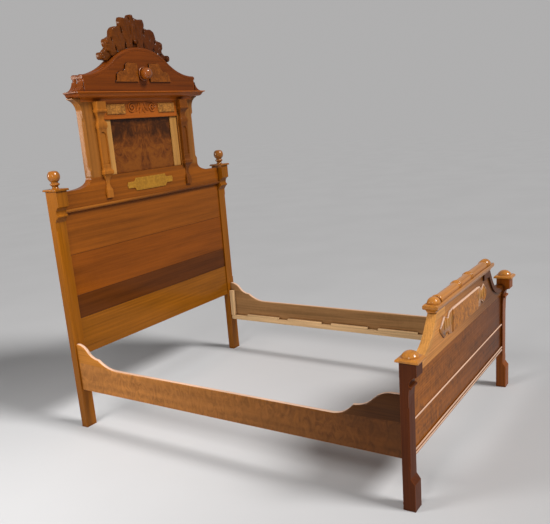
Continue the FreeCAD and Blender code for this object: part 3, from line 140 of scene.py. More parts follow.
class BedColours(bpy.types.PropertyGroup):
    """Middle tone of each finish."""
    panel: colour("Panel walnut", "Top board of the headboard and shoulder board", "#81450E")
    upper: colour("Upper walnut", "Second headboard board from the top", "#7F410A")
    lower: colour("Lower walnut", "Lowest headboard board", "#844D0D")
    dark: colour("Dark walnut", "Dark board, seams between the boards, right foot border", "#552A07")
    post: colour("Post walnut", "Headboard posts and their caps", "#864D0B")
    stile: colour("Stile walnut", "Stiles and brackets of the tower", "#86521F")
    pilaster: colour("Pilaster walnut", "Pilasters of the tower, moulding of the panel", "#985A1C")
    # Painted shadow: the pediment plaques' upright sides take this dark tone, as the shadow round them
    outline: colour("Outline walnut", "Old varnish in the edges of the pediment plaques", "#2C1204")
    finial: colour("Finial walnut", "Turned finials of the headboard posts", "#8C5212")
    pale: colour("Pale walnut", "Strips beside the burl panel, reeds of the plaque", "#B98546")
    red: colour("Red walnut", "Pediment and ends of the cornice", "#6C3206")
    cornice: colour("Cornice walnut", "Cornice and frieze", "#9A5016")
    carved: colour("Carved walnut", "Crest", "#643309")
    rail: colour("Figured walnut", "Outside of the side rails", "#AE7034")
    rail_end: colour("Rail end walnut", "Straight-grained pieces glued on at the rail ends", "#AC6C26")
    bare: colour("Bare walnut", "Inside of the side rails, never varnished", "#977048")
    foot: colour("Foot walnut", "Footboard panels and bottom rail", "#92520F")
    foot_post: colour("Foot post walnut", "Footboard posts", "#84430F")
    arch: colour("Arch walnut", "Arched board of the footboard", "#C88440")
    roll: colour("Gold walnut", "Roll, top rail, caps and plaque ends of the footboard", "#B87428")
    # Painted light: the left border is this paler tone as lit, the right border takes the dark tone as
    # shaded
    border: colour("Border walnut", "Left border of the footboard", "#C88A46")
    # Painted highlight with some rubbing: the upper faces of the foot beads, the plaque's bevels and the
    # rails' tops
    worn: colour("Worn walnut", "Beads and arrises rubbed pale", "#D6B096")
    burl: colour("Walnut burl", "The dark bookmatched panel", "#62320B")
    bell: colour("Red burl", "Plaques on the pediment", "#7A400E")
    yellow: colour("Yellow burl", "Cartouche", "#A17022")
    tablet: colour("Gold burl", "Tablets on the frieze", "#9A642A")
    plaque: colour("Flame burl", "Plaque on the footboard", "#A8640C")
    boss: colour("Boss walnut", "Turned boss of the pediment", "#7E400E")
    pine: colour("Pine", "Slat ledgers and blocks", "#D2AC7E")
    iron: colour("Cast iron", "Bed hooks and pins", "#2E2925")
    floor: colour("Floor", "Pale studio floor", "#C6C5C5")


def add(tree, kind, inputs=None, stops=(), **settings):
    """Adds a node with its settings, its inputs and, for a ramp, its stops.

    An input is a value, another node's socket, or a node, which stands for its first output.
    """
    made = tree.nodes.new(kind)
    for key, value in settings.items():
        setattr(made, key, value)
    for key, value in (inputs or {}).items():
        if isinstance(value, bpy.types.Node):
            value = value.outputs[0]
        if isinstance(value, bpy.types.NodeSocket):
            tree.links.new(value, made.inputs[key])
        else:
            made.inputs[key].default_value = value
    if stops:
        elements = made.color_ramp.elements
        while len(elements) < len(stops):
            elements.new(1)
        for element, (place, tint) in zip(elements, stops):
            element.position = place
            element.color = tint
    return made


def shade(base, share):
    return tuple(min(1.0, c * share) for c in base) + (1.0,)


def new_material(name):
    """An empty material, its tree and the Object coordinates that its patterns read."""
    made = bpy.data.materials.new(name)
    made.use_nodes = True
    tree = made.node_tree
    tree.nodes.clear()
    return made, tree, add(tree, "ShaderNodeTexCoord").outputs["Object"]


def hollow_shade_and_wear(tree, tint, worn_tint, hollow_shade_tint):
    """Painted shade darkens the hollows, and years of handling leave the arrises rubbed paler.

    Hollows are looked for within 22 mm and arrises within 3 mm. In a Mix node of colours, sockets 6
    and 7 are the two colours and output 2 is the result.
    """
    # Painted shade: the colour darkens where a hollow is occluded
    hollow = add(tree, "ShaderNodeAmbientOcclusion", {"Distance": 22 * mm}, samples=6).outputs["AO"]
    depth = add(tree, "ShaderNodeValToRGB", {"Fac": hollow}, ((0.25, hollow_shade_tint), (0.8, white)))
    hollow_shaded = add(tree, "ShaderNodeMix", {0: 1.0, 6: tint, 7: depth}, data_type="RGBA", blend_type="MULTIPLY")
    soft = add(tree, "ShaderNodeBevel", {"Radius": 3 * mm}, samples=4)
    true = add(tree, "ShaderNodeNewGeometry")
    alike = add(tree, "ShaderNodeVectorMath", {0: soft, 1: true.outputs["Normal"]}, operation="DOT_PRODUCT")
    rubbed = add(tree, "ShaderNodeMapRange", {
        "Value": alike.outputs["Value"], "From Min": 0.99, "From Max": 0.86, "To Min": 0.0, "To Max": 0.5})
    worn = add(tree, "ShaderNodeMix", {0: rubbed, 6: hollow_shaded.outputs[2], 7: worn_tint}, data_type="RGBA")
    return worn.outputs[2]


def varnish(tree, tint, rough, coat, **more):
    """Old shellac on wood: the ground hardly shines and a clear coat over it mirrors soft lamps."""
    shader = add(tree, "ShaderNodeBsdfPrincipled", {
        "Base Color": tint, "Roughness": rough, "IOR": 1.5, "Specular IOR Level": 0.04,
        "Coat Weight": coat, "Coat Roughness": 0.16, **more})
    add(tree, "ShaderNodeOutputMaterial", {"Surface": shader})


def planed_wood(name, base, run, shift, ring=11.0, contrast=0.5, curl=0.0, coat=0.25, gloss=0.4,
                fade=None, grime=1.0):
    """Planed, stained and varnished hardwood.

    The eye reads growth bands and darker streaks along the board, pores that break the shine, and
    a clear coat that mirrors soft lamps; a figured board has curls across it. Bands are 11 mm apart,
    streaks 7 mm wide and curls 44 mm; real pores are 0.3 mm wide and are drawn 1.5 mm wide to show.
    A shade falloff (axis, start, end, share) paints shade on the board, darker from start to end.
    A hollow shade below 1 makes the painted shade in the hollows darker still, as in carving.
    """
    made, tree, place = new_material(name)
    moved = add(tree, "ShaderNodeMapping", {"Vector": place, "Location": (shift, shift * 0.7, -shift)})

    def fibre(across, along, detail, rough, warp=0.0):
        """A figure so many millimetres across the grain and along it."""
        scale = tuple(1 / ((along if axis == run else across) * mm) for axis in "xyz")
        spread = add(tree, "ShaderNodeMapping", {"Vector": moved, "Scale": scale})
        return add(tree, "ShaderNodeTexNoise", {
            "Vector": spread, "Scale": 1.0, "Detail": detail, "Roughness": rough, "Distortion": warp})

    streak = fibre(7, 330, 5, 0.6)
    broad = fibre(60, 800, 3, 0.5)
    log = add(tree, "ShaderNodeMapping", {
        "Vector": moved, "Location": (0.03, 0.09, 0.05),
        "Scale": tuple(0.07 if axis == run else 1.0 for axis in "xyz")})
    rings = add(tree, "ShaderNodeTexWave", {
        "Vector": log, "Scale": wave_period / (ring * mm), "Distortion": 9.0,
        "Detail": 2.0, "Detail Scale": 0.12}, wave_type="RINGS", rings_direction=run.upper()).outputs["Fac"]
    figure = 0.4 * curl
    for part, share in ((streak, 0.5 - 0.5 * curl), (broad, 0.5 - 0.3 * curl), (rings, 0.07)):
        figure = add(tree, "ShaderNodeMath", {0: part, 1: share, 2: figure}, operation="MULTIPLY_ADD")
    if curl:
        ripple = add(tree, "ShaderNodeMath", {0: fibre(75, 44, 5, 0.65, 2.2), 1: 0.5}, operation="SUBTRACT")
        patch = add(tree, "ShaderNodeMath", {0: fibre(90, 260, 2, 0.5), 1: ripple}, operation="MULTIPLY")
        figure = add(tree, "ShaderNodeMath", {0: patch, 1: 2.4 * curl, 2: figure}, operation="MULTIPLY_ADD")
    tint = add(tree, "ShaderNodeValToRGB", {"Fac": figure}, (
        (0.38, shade(base, 1 - 0.6 * contrast)), (0.53, shade(base, 1.0)),
        (0.68, shade(base, 1 + 0.5 * contrast))))
    # Painted shade: the board darkens along the axis as the light falls off
    if fade:
        axis, start, end, share = fade
        along = add(tree, "ShaderNodeSeparateXYZ", {"Vector": place}).outputs[axis]
        level = add(tree, "ShaderNodeMapRange", {"Value": along, "From Min": start, "From Max": end})
        painted_falloff = add(tree, "ShaderNodeValToRGB", {"Fac": level}, ((0, white), (1, shade(shade_falloff_tint, share))))
        tint = add(tree, "ShaderNodeVectorMath", {0: tint, 1: painted_falloff}, operation="MULTIPLY")
    tint = hollow_shade_and_wear(tree, tint, shade(base, 1.8), shade((0.30, 0.22, 0.16), grime))
    pores = fibre(1.5, 26, 2, 0.5)
    bump = add(tree, "ShaderNodeBump", {"Height": pores, "Distance": 0.2 * mm, "Strength": 0.3})
    rough = add(tree, "ShaderNodeMapRange", {
        "Value": streak, "From Min": 0.3, "From Max": 0.7, "To Min": gloss + 0.1, "To Max": gloss})
    varnish(tree, tint, rough, coat, Normal=bump)
    return made


def burl_veneer(name, base, eye, depth, low=0.0, high=0.0):
    """Sliced walnut burl under varnish.

    The eye reads curling figure with darker eyes and pale flame between them, turned over at the
    middle where two leaves of veneer are bookmatched. An eye's width is in millimetres. Between the
    heights low and high the flame gives way to dark cloud.
    """
    made, tree, place = new_material(name)
    turned = add(tree, "ShaderNodeVectorMath", {0: place}, operation="ABSOLUTE")

    def cloud(size, detail, warp):
        return add(tree, "ShaderNodeTexNoise", {
            "Vector": turned, "Scale": 1 / (size * mm), "Detail": detail, "Roughness": 0.65,
            "Distortion": warp})

    drift = add(tree, "ShaderNodeVectorMath", {0: turned, 1: (0.3, 0.3, 0.3)}, operation="ADD")
    eyes = add(tree, "ShaderNodeTexVoronoi", {"Vector": drift, "Scale": 1 / (eye * mm), "Randomness": 1.0},
               feature="SMOOTH_F1")
    figure = -0.08
    for part, share in ((cloud(eye * 2.2, 4, 2.4), 0.6), (cloud(eye * 5, 3, 1.2), 0.6), (eyes, 0.12)):
        figure = add(tree, "ShaderNodeMath", {0: part, 1: share, 2: figure}, operation="MULTIPLY_ADD")
    if high > low:
        level = add(tree, "ShaderNodeSeparateXYZ", {"Vector": place}).outputs["Z"]
        fall = add(tree, "ShaderNodeMapRange", {
            "Value": level, "From Min": low, "From Max": high, "To Min": 0.13, "To Max": -0.09},
            interpolation_type="SMOOTHSTEP")
        figure = add(tree, "ShaderNodeMath", {0: figure, 1: fall}, operation="ADD")
    flame = tuple(part * (1 + gain * depth) for part, gain in zip(base, (1.2, 1.5, 1.2)))
    tint = add(tree, "ShaderNodeValToRGB", {"Fac": figure}, (
        (0.40, shade(base, 1 - depth)), (0.53, shade(base, 0.85)),
        (0.62, shade(base, 1 + 0.4 * depth)), (0.74, shade(flame, 1.0))))
    varnish(tree, hollow_shade_and_wear(tree, tint, shade(base, 1.6), (0.34, 0.26, 0.2, 1)), 0.3, 0.3)
    return made


def cast_iron(name, base):
    """Sand-cast iron, oiled and browned: a dull dark metal with a grainy skin and rust in patches."""
    made, tree, place = new_material(name)
    grit = add(tree, "ShaderNodeTexNoise", {"Vector": place, "Scale": 1 / (1.2 * mm), "Detail": 3})
    patch = add(tree, "ShaderNodeTexNoise", {"Vector": place, "Scale": 1 / (14 * mm), "Detail": 3})
    rust = shade(linear("#5A3A22"), 1.0)
    tint = add(tree, "ShaderNodeValToRGB", {"Fac": patch}, ((0.4, shade(base, 0.9)), (0.62, rust)))
    bump = add(tree, "ShaderNodeBump", {"Height": grit, "Distance": 0.3 * mm, "Strength": 0.5})
    shader = add(tree, "ShaderNodeBsdfPrincipled", {
        "Base Color": tint, "Metallic": 0.75, "Roughness": 0.6, "Normal": bump})
    add(tree, "ShaderNodeOutputMaterial", {"Surface": shader})
    return made


def made_once(name, maker, *values, **looks):
    return bpy.data.materials.get(name) or maker(name, *values, **looks)


def finish(context, tone, run="x", shift=0.0):
    """The material for a tone whose grain runs along x, y or z; shift moves to another log."""
    tint = tuple(getattr(context.scene.bed_colours, tone))
    if tone == "burl":
        low, high = corners("burl_panel")
        return made_once("walnut_burl_panel", burl_veneer, tint, eye=30, depth=0.65, low=low.z, high=high.z)
    if tone in burl_depths:
        return made_once(f"walnut_burl_{tone}", burl_veneer, tint, eye=14, depth=burl_depths[tone])
    if tone == "iron":
        return made_once("cast_iron_browned", cast_iron, tint)
    if tone == "pine":
        return made_once(f"sawn_pine_{run}", planed_wood, tint, run, 0.4, ring=5.0, contrast=0.6,
                         coat=0.0, gloss=0.6)
    if tone == "bare":
        return made_once(f"sawn_walnut_{run}", planed_wood, tint, run, 0.2, contrast=0.6, curl=0.1,
                         coat=0.0, gloss=0.65)
    return made_once(f"{tone}_walnut_varnished_{run}_{shift:g}", planed_wood, tint, run, shift,
                     contrast=contrasts.get(tone, plain_contrast), curl=curls.get(tone, plain_curl),
                     coat=polished_coat if tone in polished else plain_coat, fade=shade_falloffs.get(tone),
                     grime=deep_hollow_shade.get(tone, plain_hollow_shade))


def keep(piece, node):
    """The finished piece stands for the node, on its body."""
    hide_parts(node)
    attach(piece, body_of[node])


def in_scene(name, data):
    """A new object in the scene."""
    made = bpy.data.objects.new(name, data)
    bpy.context.scene.collection.objects.link(made)
    return made


def smooth_mesh(name, shape, angle=sharp_angle):
    """A mesh from a bmesh, smooth between its sharp edges."""
    mesh = bpy.data.meshes.new(name)
    shape.to_mesh(mesh)
    shape.free()
    mesh.polygons.foreach_set("use_smooth", [True] * len(mesh.polygons))
    mesh.set_sharp_from_angle(angle=angle)
    return mesh


def new_piece(name, shape, *materials, angle=sharp_angle):
    """An object in the scene, at the origin, from a bmesh whose place is in its points."""
    piece = in_scene(name, smooth_mesh(name, shape, angle))
    for material in materials:
        piece.data.materials.append(material)
    return piece


def solid_copy(node):
    """A joined-up copy of a node's loose triangles, with its flat faces whole."""
    shape = bmesh.new()
    shape.from_mesh(frame["nodes"][node].data)
    bmesh.ops.remove_doubles(shape, verts=shape.verts, dist=one_point)
    bmesh.ops.dissolve_limit(shape, angle_limit=math.radians(0.4), verts=shape.verts, edges=shape.edges)
    return shape


def soften(piece, edge):
    """Rounds the sharp edges."""
    soft = piece.modifiers.new("softened_edges", "BEVEL")
    soft.width = edge
    soft.segments = 2
    soft.limit_method = "ANGLE"
    soft.angle_limit = sharp_angle
    soft.harden_normals = True


def dress(node, material, edge, accent=None, on_accent=None):
    """A piece of the bed with its arrises softened as planing and sanding leave them.

    Faces for which on_accent is true take the accent material.
    """
    shape = solid_copy(node)
    materials = [material]
    if accent:
        materials.append(accent)
        for face in shape.faces:
            face.material_index = int(on_accent(face))
    piece = new_piece(node + ".dressed", shape, *materials)
    soften(piece, edge)
    keep(piece, node)


def dress_all(context, *rows):
    """Dresses nodes; a row is the node, the kind of edge it has, and its finish."""
    for node, edge, *look in rows:
        dress(node, finish(context, *look), getattr(context.scene.bed_sizes, edge + "_edge"))


def evaluated(piece):
    """The piece's mesh with its modifiers worked in."""
    graph = bpy.context.evaluated_depsgraph_get()
    graph.update()
    return bpy.data.meshes.new_from_object(piece.evaluated_get(graph))


def row_tree():
    """Geometry nodes that set a piece out in a row, each leaning and straying a little."""
    name = "row_of_pieces"
    if name in bpy.data.node_groups:
        return bpy.data.node_groups[name]
    tree = bpy.data.node_groups.new(name, "GeometryNodeTree")
    for label, kind in (("Piece", "Object"), ("Count", "Int"), ("Start", "Vector"), ("Step", "Vector"),
                        ("Lean", "Float"), ("Stray", "Vector"), ("Seed", "Int"), ("Finish", "Material")):
        tree.interface.new_socket(name=label, in_out="INPUT", socket_type="NodeSocket" + kind)
    tree.interface.new_socket(name="Row", in_out="OUTPUT", socket_type="NodeSocketGeometry")
    given = add(tree, "NodeGroupInput").outputs
    line = add(tree, "GeometryNodeMeshLine", {
        "Count": given["Count"], "Start Location": given["Start"], "Offset": given["Step"]}, mode="OFFSET")
    back = add(tree, "ShaderNodeVectorMath", {0: given["Stray"], "Scale": -1.0}, operation="SCALE")
    stray = add(tree, "FunctionNodeRandomValue", {0: back, 1: given["Stray"], "Seed": given["Seed"]},
                data_type="FLOAT_VECTOR")
    set_out = add(tree, "GeometryNodeSetPosition", {"Geometry": line, "Offset": stray})
    middle = add(tree, "ShaderNodeMath", {0: given["Count"], 1: 0.5, 2: -0.5}, operation="MULTIPLY_ADD")
    index = add(tree, "GeometryNodeInputIndex")
    off = add(tree, "ShaderNodeMath", {0: index, 1: middle}, operation="SUBTRACT")
    lean = add(tree, "ShaderNodeMath", {0: off, 1: given["Lean"]}, operation="MULTIPLY")
    turn = add(tree, "ShaderNodeCombineXYZ", {"Y": lean})
    shape = add(tree, "GeometryNodeObjectInfo", {"Object": given["Piece"]})
    copies = add(tree, "GeometryNodeInstanceOnPoints", {
        "Points": set_out, "Instance": shape.outputs["Geometry"], "Rotation": turn})
    real = add(tree, "GeometryNodeRealizeInstances", {"Geometry": copies})
    painted = add(tree, "GeometryNodeSetMaterial", {"Geometry": real, "Material": given["Finish"]})
    add(tree, "NodeGroupOutput", {"Row": painted})
    return tree


def row(name, piece, count, start, step, material, lean=0.0, stray=(0, 0, 0)):
    """A plain mesh object of a row made by the nodes; the pattern piece is thrown away."""
    host = in_scene(name + ".rows", bpy.data.meshes.new(name + ".rows"))
    tree = row_tree()
    modifier = host.modifiers.new("row", "NODES")
    modifier.node_group = tree
    values = {"Piece": piece, "Count": count, "Start": start, "Step": step, "Lean": lean, "Stray": stray,
              "Seed": 7, "Finish": material}
    for socket in tree.interface.items_tree:
        if socket.in_out == "INPUT":
            modifier[socket.identifier] = values[socket.name]
    made = in_scene(name, evaluated(host))
    bpy.data.objects.remove(host)
    bpy.data.objects.remove(piece)
    return made


def corners(node):
    return tuple(Vector(corner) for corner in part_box(node))


def block(name, size, edge):
    """A sawn block about the origin, its arrises eased; a pattern for a row."""
    shape = bmesh.new()
    bmesh.ops.create_cube(shape, size=1)
    bmesh.ops.scale(shape, vec=size, verts=shape.verts)
    bmesh.ops.bevel(shape, geom=shape.edges[:], offset=edge, segments=2, affect="EDGES", profile=0.6)
    return bpy.data.objects.new(name, smooth_mesh(name, shape))


def turned_bar(name, half, width, depth):
    """An upright reed, swelling to its middle and pointed at both ends; a pattern for a row."""
    steps, ring = 14, 16
    shape = bmesh.new()
    rings = []
    for i in range(steps + 1):
        share = 2 * i / steps - 1
        full = max(0.04, (1 - abs(share) ** 3) ** 0.5)
        turns = [2 * math.pi * k / ring for k in range(ring)]
        rings.append([shape.verts.new((width / 2 * full * math.cos(turn), depth * full * math.sin(turn),
                                       half * share)) for turn in turns])
    for low, high in zip(rings, rings[1:]):
        for k in range(ring):
            shape.faces.new((low[k], low[(k + 1) % ring], high[(k + 1) % ring], high[k]))
    shape.faces.new(rings[0][::-1])
    shape.faces.new(rings[-1])
    bmesh.ops.recalc_face_normals(shape, faces=shape.faces)
    return bpy.data.objects.new(name, smooth_mesh(name, shape))


def spread_leaf(root, tip, bow, width, rise, ground):
    """A carved leaf lying on a ground plane facing -y: domed, with a sunk vein and ribs."""
    steps, across = 34, 20
    under_ground = 2 * mm
    root, tip = Vector(root), Vector(tip)
    run = tip - root
    side = Vector((run.y, -run.x)).normalized()
    shape = bmesh.new()
    top, under = [], []
    for i in range(steps + 1):
        u = i / steps
        spine = root + run * u + side * bow * math.sin(math.pi * u)
        heading = (run + side * bow * math.pi * math.cos(math.pi * u)).normalized()
        out = Vector((heading.y, -heading.x))
        full = math.sin(math.pi * (0.08 + 0.92 * u) ** 0.85) ** 0.75 if u < 1 else 0.0
        half = width / 2 * max(full, 0.03)
        swell = rise * (0.45 + 0.55 * math.sin(math.pi * min(1.0, 0.15 + 0.8 * u)))
        upper, lower = [], []
        for j in range(across + 1):
            v = 2 * j / across - 1
            dome = (1 - abs(v) ** 2.4) ** 0.6
            vein = 0.32 * math.exp(-(v / 0.13) ** 2) * (1 - u) ** 0.3
            rib = 0.10 * math.cos(2 * math.pi * (abs(v) * 1.6 + 2.2 * u)) * (1 - abs(v))
            place = spine + out * half * v
            height = swell * max(0.0, dome - vein + rib)
            upper.append(shape.verts.new((place.x, ground - height, place.y)))
            lower.append(shape.verts.new((place.x, ground + under_ground, place.y)))
        top.append(upper)
        under.append(lower)
    for i in range(steps):
        for j in range(across):
            shape.faces.new((top[i][j], top[i][j + 1], top[i + 1][j + 1], top[i + 1][j]))
            shape.faces.new((under[i][j], under[i + 1][j], under[i + 1][j + 1], under[i][j + 1]))
        for j in (0, across):
            shape.faces.new((top[i][j], top[i + 1][j], under[i + 1][j], under[i][j]))
    for i in (0, steps):
        for j in range(across):
            shape.faces.new((top[i][j], under[i][j], under[i][j + 1], top[i][j + 1]))
    bmesh.ops.recalc_face_normals(shape, faces=shape.faces)
    return shape


def bead_line(points, radii, y):
    """A round bead that follows points in the plane facing -y, thick and thin by turns."""
    line = bpy.data.curves.new("bead", "CURVE")
    line.dimensions = "3D"
    line.bevel_depth = 1.0
    line.bevel_resolution = 3
    line.use_fill_caps = True
    spline = line.splines.new("NURBS")
    spline.points.add(len(points) - 1)
    for point, (x, z), radius in zip(spline.points, points, radii):
        point.co = (x, y, z, 1)
        point.radius = radius
    spline.order_u = 3
    spline.use_endpoint_u = True
    holder = in_scene("bead", line)
    shape = bmesh.new()
    shape.from_mesh(evaluated(holder))
    bpy.data.objects.remove(holder)
    return shape


def volute(centre, radius, turns, hand, steps=40):
    """Points of a scroll that winds from its top in to its eye."""
    eye_share = 0.22
    points = []
    for i in range(steps + 1):
        share = i / steps
        turn = math.pi / 2 + hand * turns * 2 * math.pi * share
        reach = radius * (1 - (1 - eye_share) * share)
        points.append((centre[0] + reach * math.cos(turn), centre[1] + reach * math.sin(turn)))
    return points


def eye_dome(centre, radius, ground):
    """A small dome, as at the eye of a scroll.

    It is made ring by ring, because Blender's own sphere orders its faces differently on each run.
    """
    around, rows = 20, 12
    x, z = centre
    shape = bmesh.new()
    top, foot = [shape.verts.new((x, ground, z + end)) for end in (radius, -radius)]
    turns = [2 * math.pi * i / around for i in range(around)]
    rings = []
    for slope in (math.pi * row / rows for row in range(1, rows)):
        reach, up = radius * math.sin(slope), z + radius * math.cos(slope)
        rings.append([shape.verts.new((x + reach * math.cos(turn), ground + reach * math.sin(turn), up))
                      for turn in turns])
    for i in range(around):
        shape.faces.new((top, rings[0][i - 1], rings[0][i]))
        shape.faces.new((foot, rings[-1][i], rings[-1][i - 1]))
        for upper, lower in zip(rings, rings[1:]):
            shape.faces.new((upper[i - 1], lower[i - 1], lower[i], upper[i]))
    return shape


def poured(into, shape):
    """Adds one bmesh to another."""
    holder = bpy.data.meshes.new("poured")
    shape.to_mesh(holder)
    shape.free()
    into.from_mesh(holder)
    bpy.data.meshes.remove(holder)


def wall_lines(node):
    """Ends of the upright walls of a flat piece, as seen from the front."""
    lines = []
    mesh = frame["nodes"][node].data
    for face in mesh.polygons:
        if abs(face.normal.y) < 0.02:
            ends = [(mesh.vertices[i].co.x, mesh.vertices[i].co.z) for i in face.vertices]
            far = max(((a, b) for a in ends for b in ends),
                      key=lambda pair: (pair[0][0] - pair[1][0]) ** 2 + (pair[0][1] - pair[1][1]) ** 2)
            lines.append(far)
    return np.array(lines)


def leaf_relief(place, root, tip, bow, half_width, rise, lift, full):
    """Height of a carved leaf over each place: broad and flat, its tip lifted and combed.

    The leaf is widest at the share full of its length.
    """
    share = np.linspace(0, 1, 48)
    lobes = 2.6
    root, tip = np.array(root), np.array(tip)
    run = tip - root
    side = np.array((run[1], -run[0])) / np.hypot(*run)
    spine = root + run * share[:, None] + side * (bow * np.sin(math.pi * share))[:, None]
    gaps = np.linalg.norm(place[:, None, :] - spine[None], axis=2)
    along = share[gaps.argmin(axis=1)]
    before = np.clip(along / full, 0, 1)
    after = np.clip((along - full) / (1 - full), 0, 1)
    half = half_width * (0.6 + 0.4 * np.sin(before * math.pi / 2))
    half = half * np.sqrt(np.maximum(1e-6, 1 - after ** 2.2))
    half *= 1 + 0.1 * np.cos(2 * math.pi * lobes * along)
    across = gaps.min(axis=1) / half
    inside = np.clip(1 - np.minimum(across, 1) ** 2.6, 0, 1) ** 0.5
    vein = 1 - 0.2 * np.exp(-(across / 0.09) ** 2) * (1 - along ** 4)
    comb = 1 + 0.09 * np.cos(2 * math.pi * (lobes * along - 1.1 * across))
    return np.where(across < 1, rise * inside * vein * comb + lift * along ** 4 * inside, -np.inf)


def bead_relief(place, points, radius, rise):
    """Height of a round bead that follows the points, or of a dome on a single one."""
    gaps = np.linalg.norm(place[:, None, :] - np.array(points)[None], axis=2).min(axis=1) / radius
    return np.where(gaps < 1, rise * np.sqrt(np.clip(1 - gaps ** 2, 0, 1)), -np.inf)


def carved_board(node, pole, ground, back, relief, notch, notches):
    """A board with the node's own outline, its face carved by relief, its edge rounded and notched.

    The face is laid out on rays from the pole, which lies below the board.
    """
    rays, rings = 421, 64
    sink, sink_reach = 6 * mm, 7 * mm
    lines = wall_lines(node)
    low, span = lines[:, 0], lines[:, 1] - lines[:, 0]
    offset = low - np.array(pole)
    reach = math.atan2(np.abs(lines[:, :, 0]).max(), lines[:, :, 1].min() - pole[1])
    spread = 1 - (1 - np.linspace(0, 1, rings + 1)) ** 1.3
    places, edges = [], []
    for angle in np.linspace(-reach, reach, rays):
        heading = np.array((math.sin(angle), math.cos(angle)))
        cross = heading[0] * span[:, 1] - heading[1] * span[:, 0]
        with np.errstate(divide="ignore", invalid="ignore"):
            far = (offset[:, 0] * span[:, 1] - offset[:, 1] * span[:, 0]) / cross
            along = (offset[:, 0] * heading[1] - offset[:, 1] * heading[0]) / cross
        hits = far[(along >= -1e-6) & (along <= 1 + 1e-6) & np.isfinite(far)]
        if len(hits) > 1:
            inner, outer = hits.min(), hits.max()
            outer -= min(notch * abs(math.sin(notches * angle / reach)) ** 6, 0.2 * (outer - inner))
            radii = inner + (outer - inner) * spread
            places.append(np.array(pole) + heading * radii[:, None])
            edges.append(outer - radii)
    places, edges = np.array(places), np.array(edges)
    rounding = sink * np.clip(1 - edges / sink_reach, 0, 1) ** 2
    height = relief(places.reshape(-1, 2)).reshape(edges.shape) - rounding
    shape = bmesh.new()
    fronts = [[shape.verts.new((x, ground - rise, z)) for (x, z), rise in zip(ray, rises)]
              for ray, rises in zip(places, height)]
    backs = [[shape.verts.new((v.co.x, back, v.co.z)) for v in (ray[0], ray[-1])] for ray in fronts]
    for ray, after, rear, rear_after in zip(fronts, fronts[1:], backs, backs[1:]):
        for j in range(rings):
            shape.faces.new((ray[j], after[j], after[j + 1], ray[j + 1]))
        shape.faces.new((ray[-1], after[-1], rear_after[1], rear[1]))
        shape.faces.new((rear[0], rear_after[0], after[0], ray[0]))
        shape.faces.new((rear[1], rear_after[1], rear_after[0], rear[0]))
    for ray, rear in ((fronts[0], backs[0]), (fronts[-1][::-1], backs[-1][::-1])):
        shape.faces.new(ray + rear[::-1])
    bmesh.ops.remove_doubles(shape, verts=shape.verts, dist=one_point)
    bmesh.ops.recalc_face_normals(shape, faces=shape.faces)
    return shape


def in_seam(face):
    """True for the chamfers along a headboard board, where dirt lies in the joint."""
    return -0.9 < face.normal.y < -0.5 and abs(face.normal.z) > 0.5


class BED_OT_headboard(bpy.types.Operator):
    """Panel boards, shoulder board and their mouldings"""
    bl_idname = "bed.headboard"
    bl_label = "Headboard panel"

    def execute(self, context):
        edge = context.scene.bed_sizes.board_edge
        dirt = finish(context, "dark")
        for board, tone, shift in (("lower", "lower", 0.0), ("dark", "dark", 0.4), ("upper", "upper", 0.9),
                                   ("top", "panel", 1.7)):
            dress(f"head_board_{board}", finish(context, tone, "x", shift), edge, dirt, in_seam)
        dress_all(context, ("shoulder_board", "board", "panel", "x", 2.6),
                  ("panel_moulding", "moulding", "pilaster"),
                  ("shoulder_cartouche", "board", "yellow"))
        return {"FINISHED"}


class BED_OT_head_posts(bpy.types.Operator):
    """Headboard posts with their caps and turned finials"""
    bl_idname = "bed.head_posts"
    bl_label = "Headboard posts"

    def execute(self, context):
        for side in sides:
            dress_all(context, (f"head_post_{side}", "board", "post", "z", 0.3),
                      (f"head_cap_{side}", "board", "post"),
                      (f"head_finial_{side}", "moulding", "finial", "z"))
        return {"FINISHED"}


class BED_OT_tower(bpy.types.Operator):
    """Raised middle: stiles, frieze rail, burl panel, strips, pilasters and tablets"""
    bl_idname = "bed.tower"
    bl_label = "Tower"

    def execute(self, context):
        for side in sides:
            dress_all(context, (f"tower_stile_{side}", "board", "stile", "z", 1.1),
                      (f"panel_strip_{side}", "plaque", "pale", "z"),
                      (f"pilaster_{side}", "moulding", "pilaster", "z"))
        dress_all(context, ("frieze_rail", "board", "cornice", "x", 0.5),
                  ("burl_panel", "moulding", "burl"),
                  ("frieze_tablets", "board", "tablet"))
        return {"FINISHED"}


class BED_OT_frieze_carving(bpy.types.Operator):
    """Carved scrolls and hanging leaves in the middle of the frieze"""
    bl_idname = "bed.frieze_carving"
    bl_label = "Frieze carving"

    def execute(self, context):
        bead = context.scene.bed_sizes.scroll_bead
        low, high = corners("frieze_scroll")
        ground = high.y
        radius, eye, stem_start, stem_end, bow = 31 * mm, 8 * mm, 6 * mm, 34 * mm, 6 * mm
        shape = bmesh.new()
        for hand in (1, -1):
            centre = (hand * (high.x - radius - bead), high.z - radius - bead)
            points = [(hand * stem_start, high.z - 2 * bead), (hand * stem_end, high.z - bead)]
            points += volute(centre, radius, 1.6, -hand)
            last = len(points) - 1
            radii = [bead * (0.6 + 0.4 * math.sin(math.pi * i / last)) for i in range(last + 1)]
            poured(shape, bead_line(points, radii, ground - bead * 0.4))
            poured(shape, eye_dome(centre, eye, ground))
            for out, down, reach, up, width, rise in frieze_leaves:
                root, tip = (hand * out * mm, high.z - down * mm), (hand * reach * mm, low.z + up * mm)
                poured(shape, spread_leaf(root, tip, hand * bow, width * mm, rise * mm, ground))
        keep(new_piece("frieze_carving", shape, finish(context, "cornice", "x", 0.5)), "frieze_scroll")
        return {"FINISHED"}


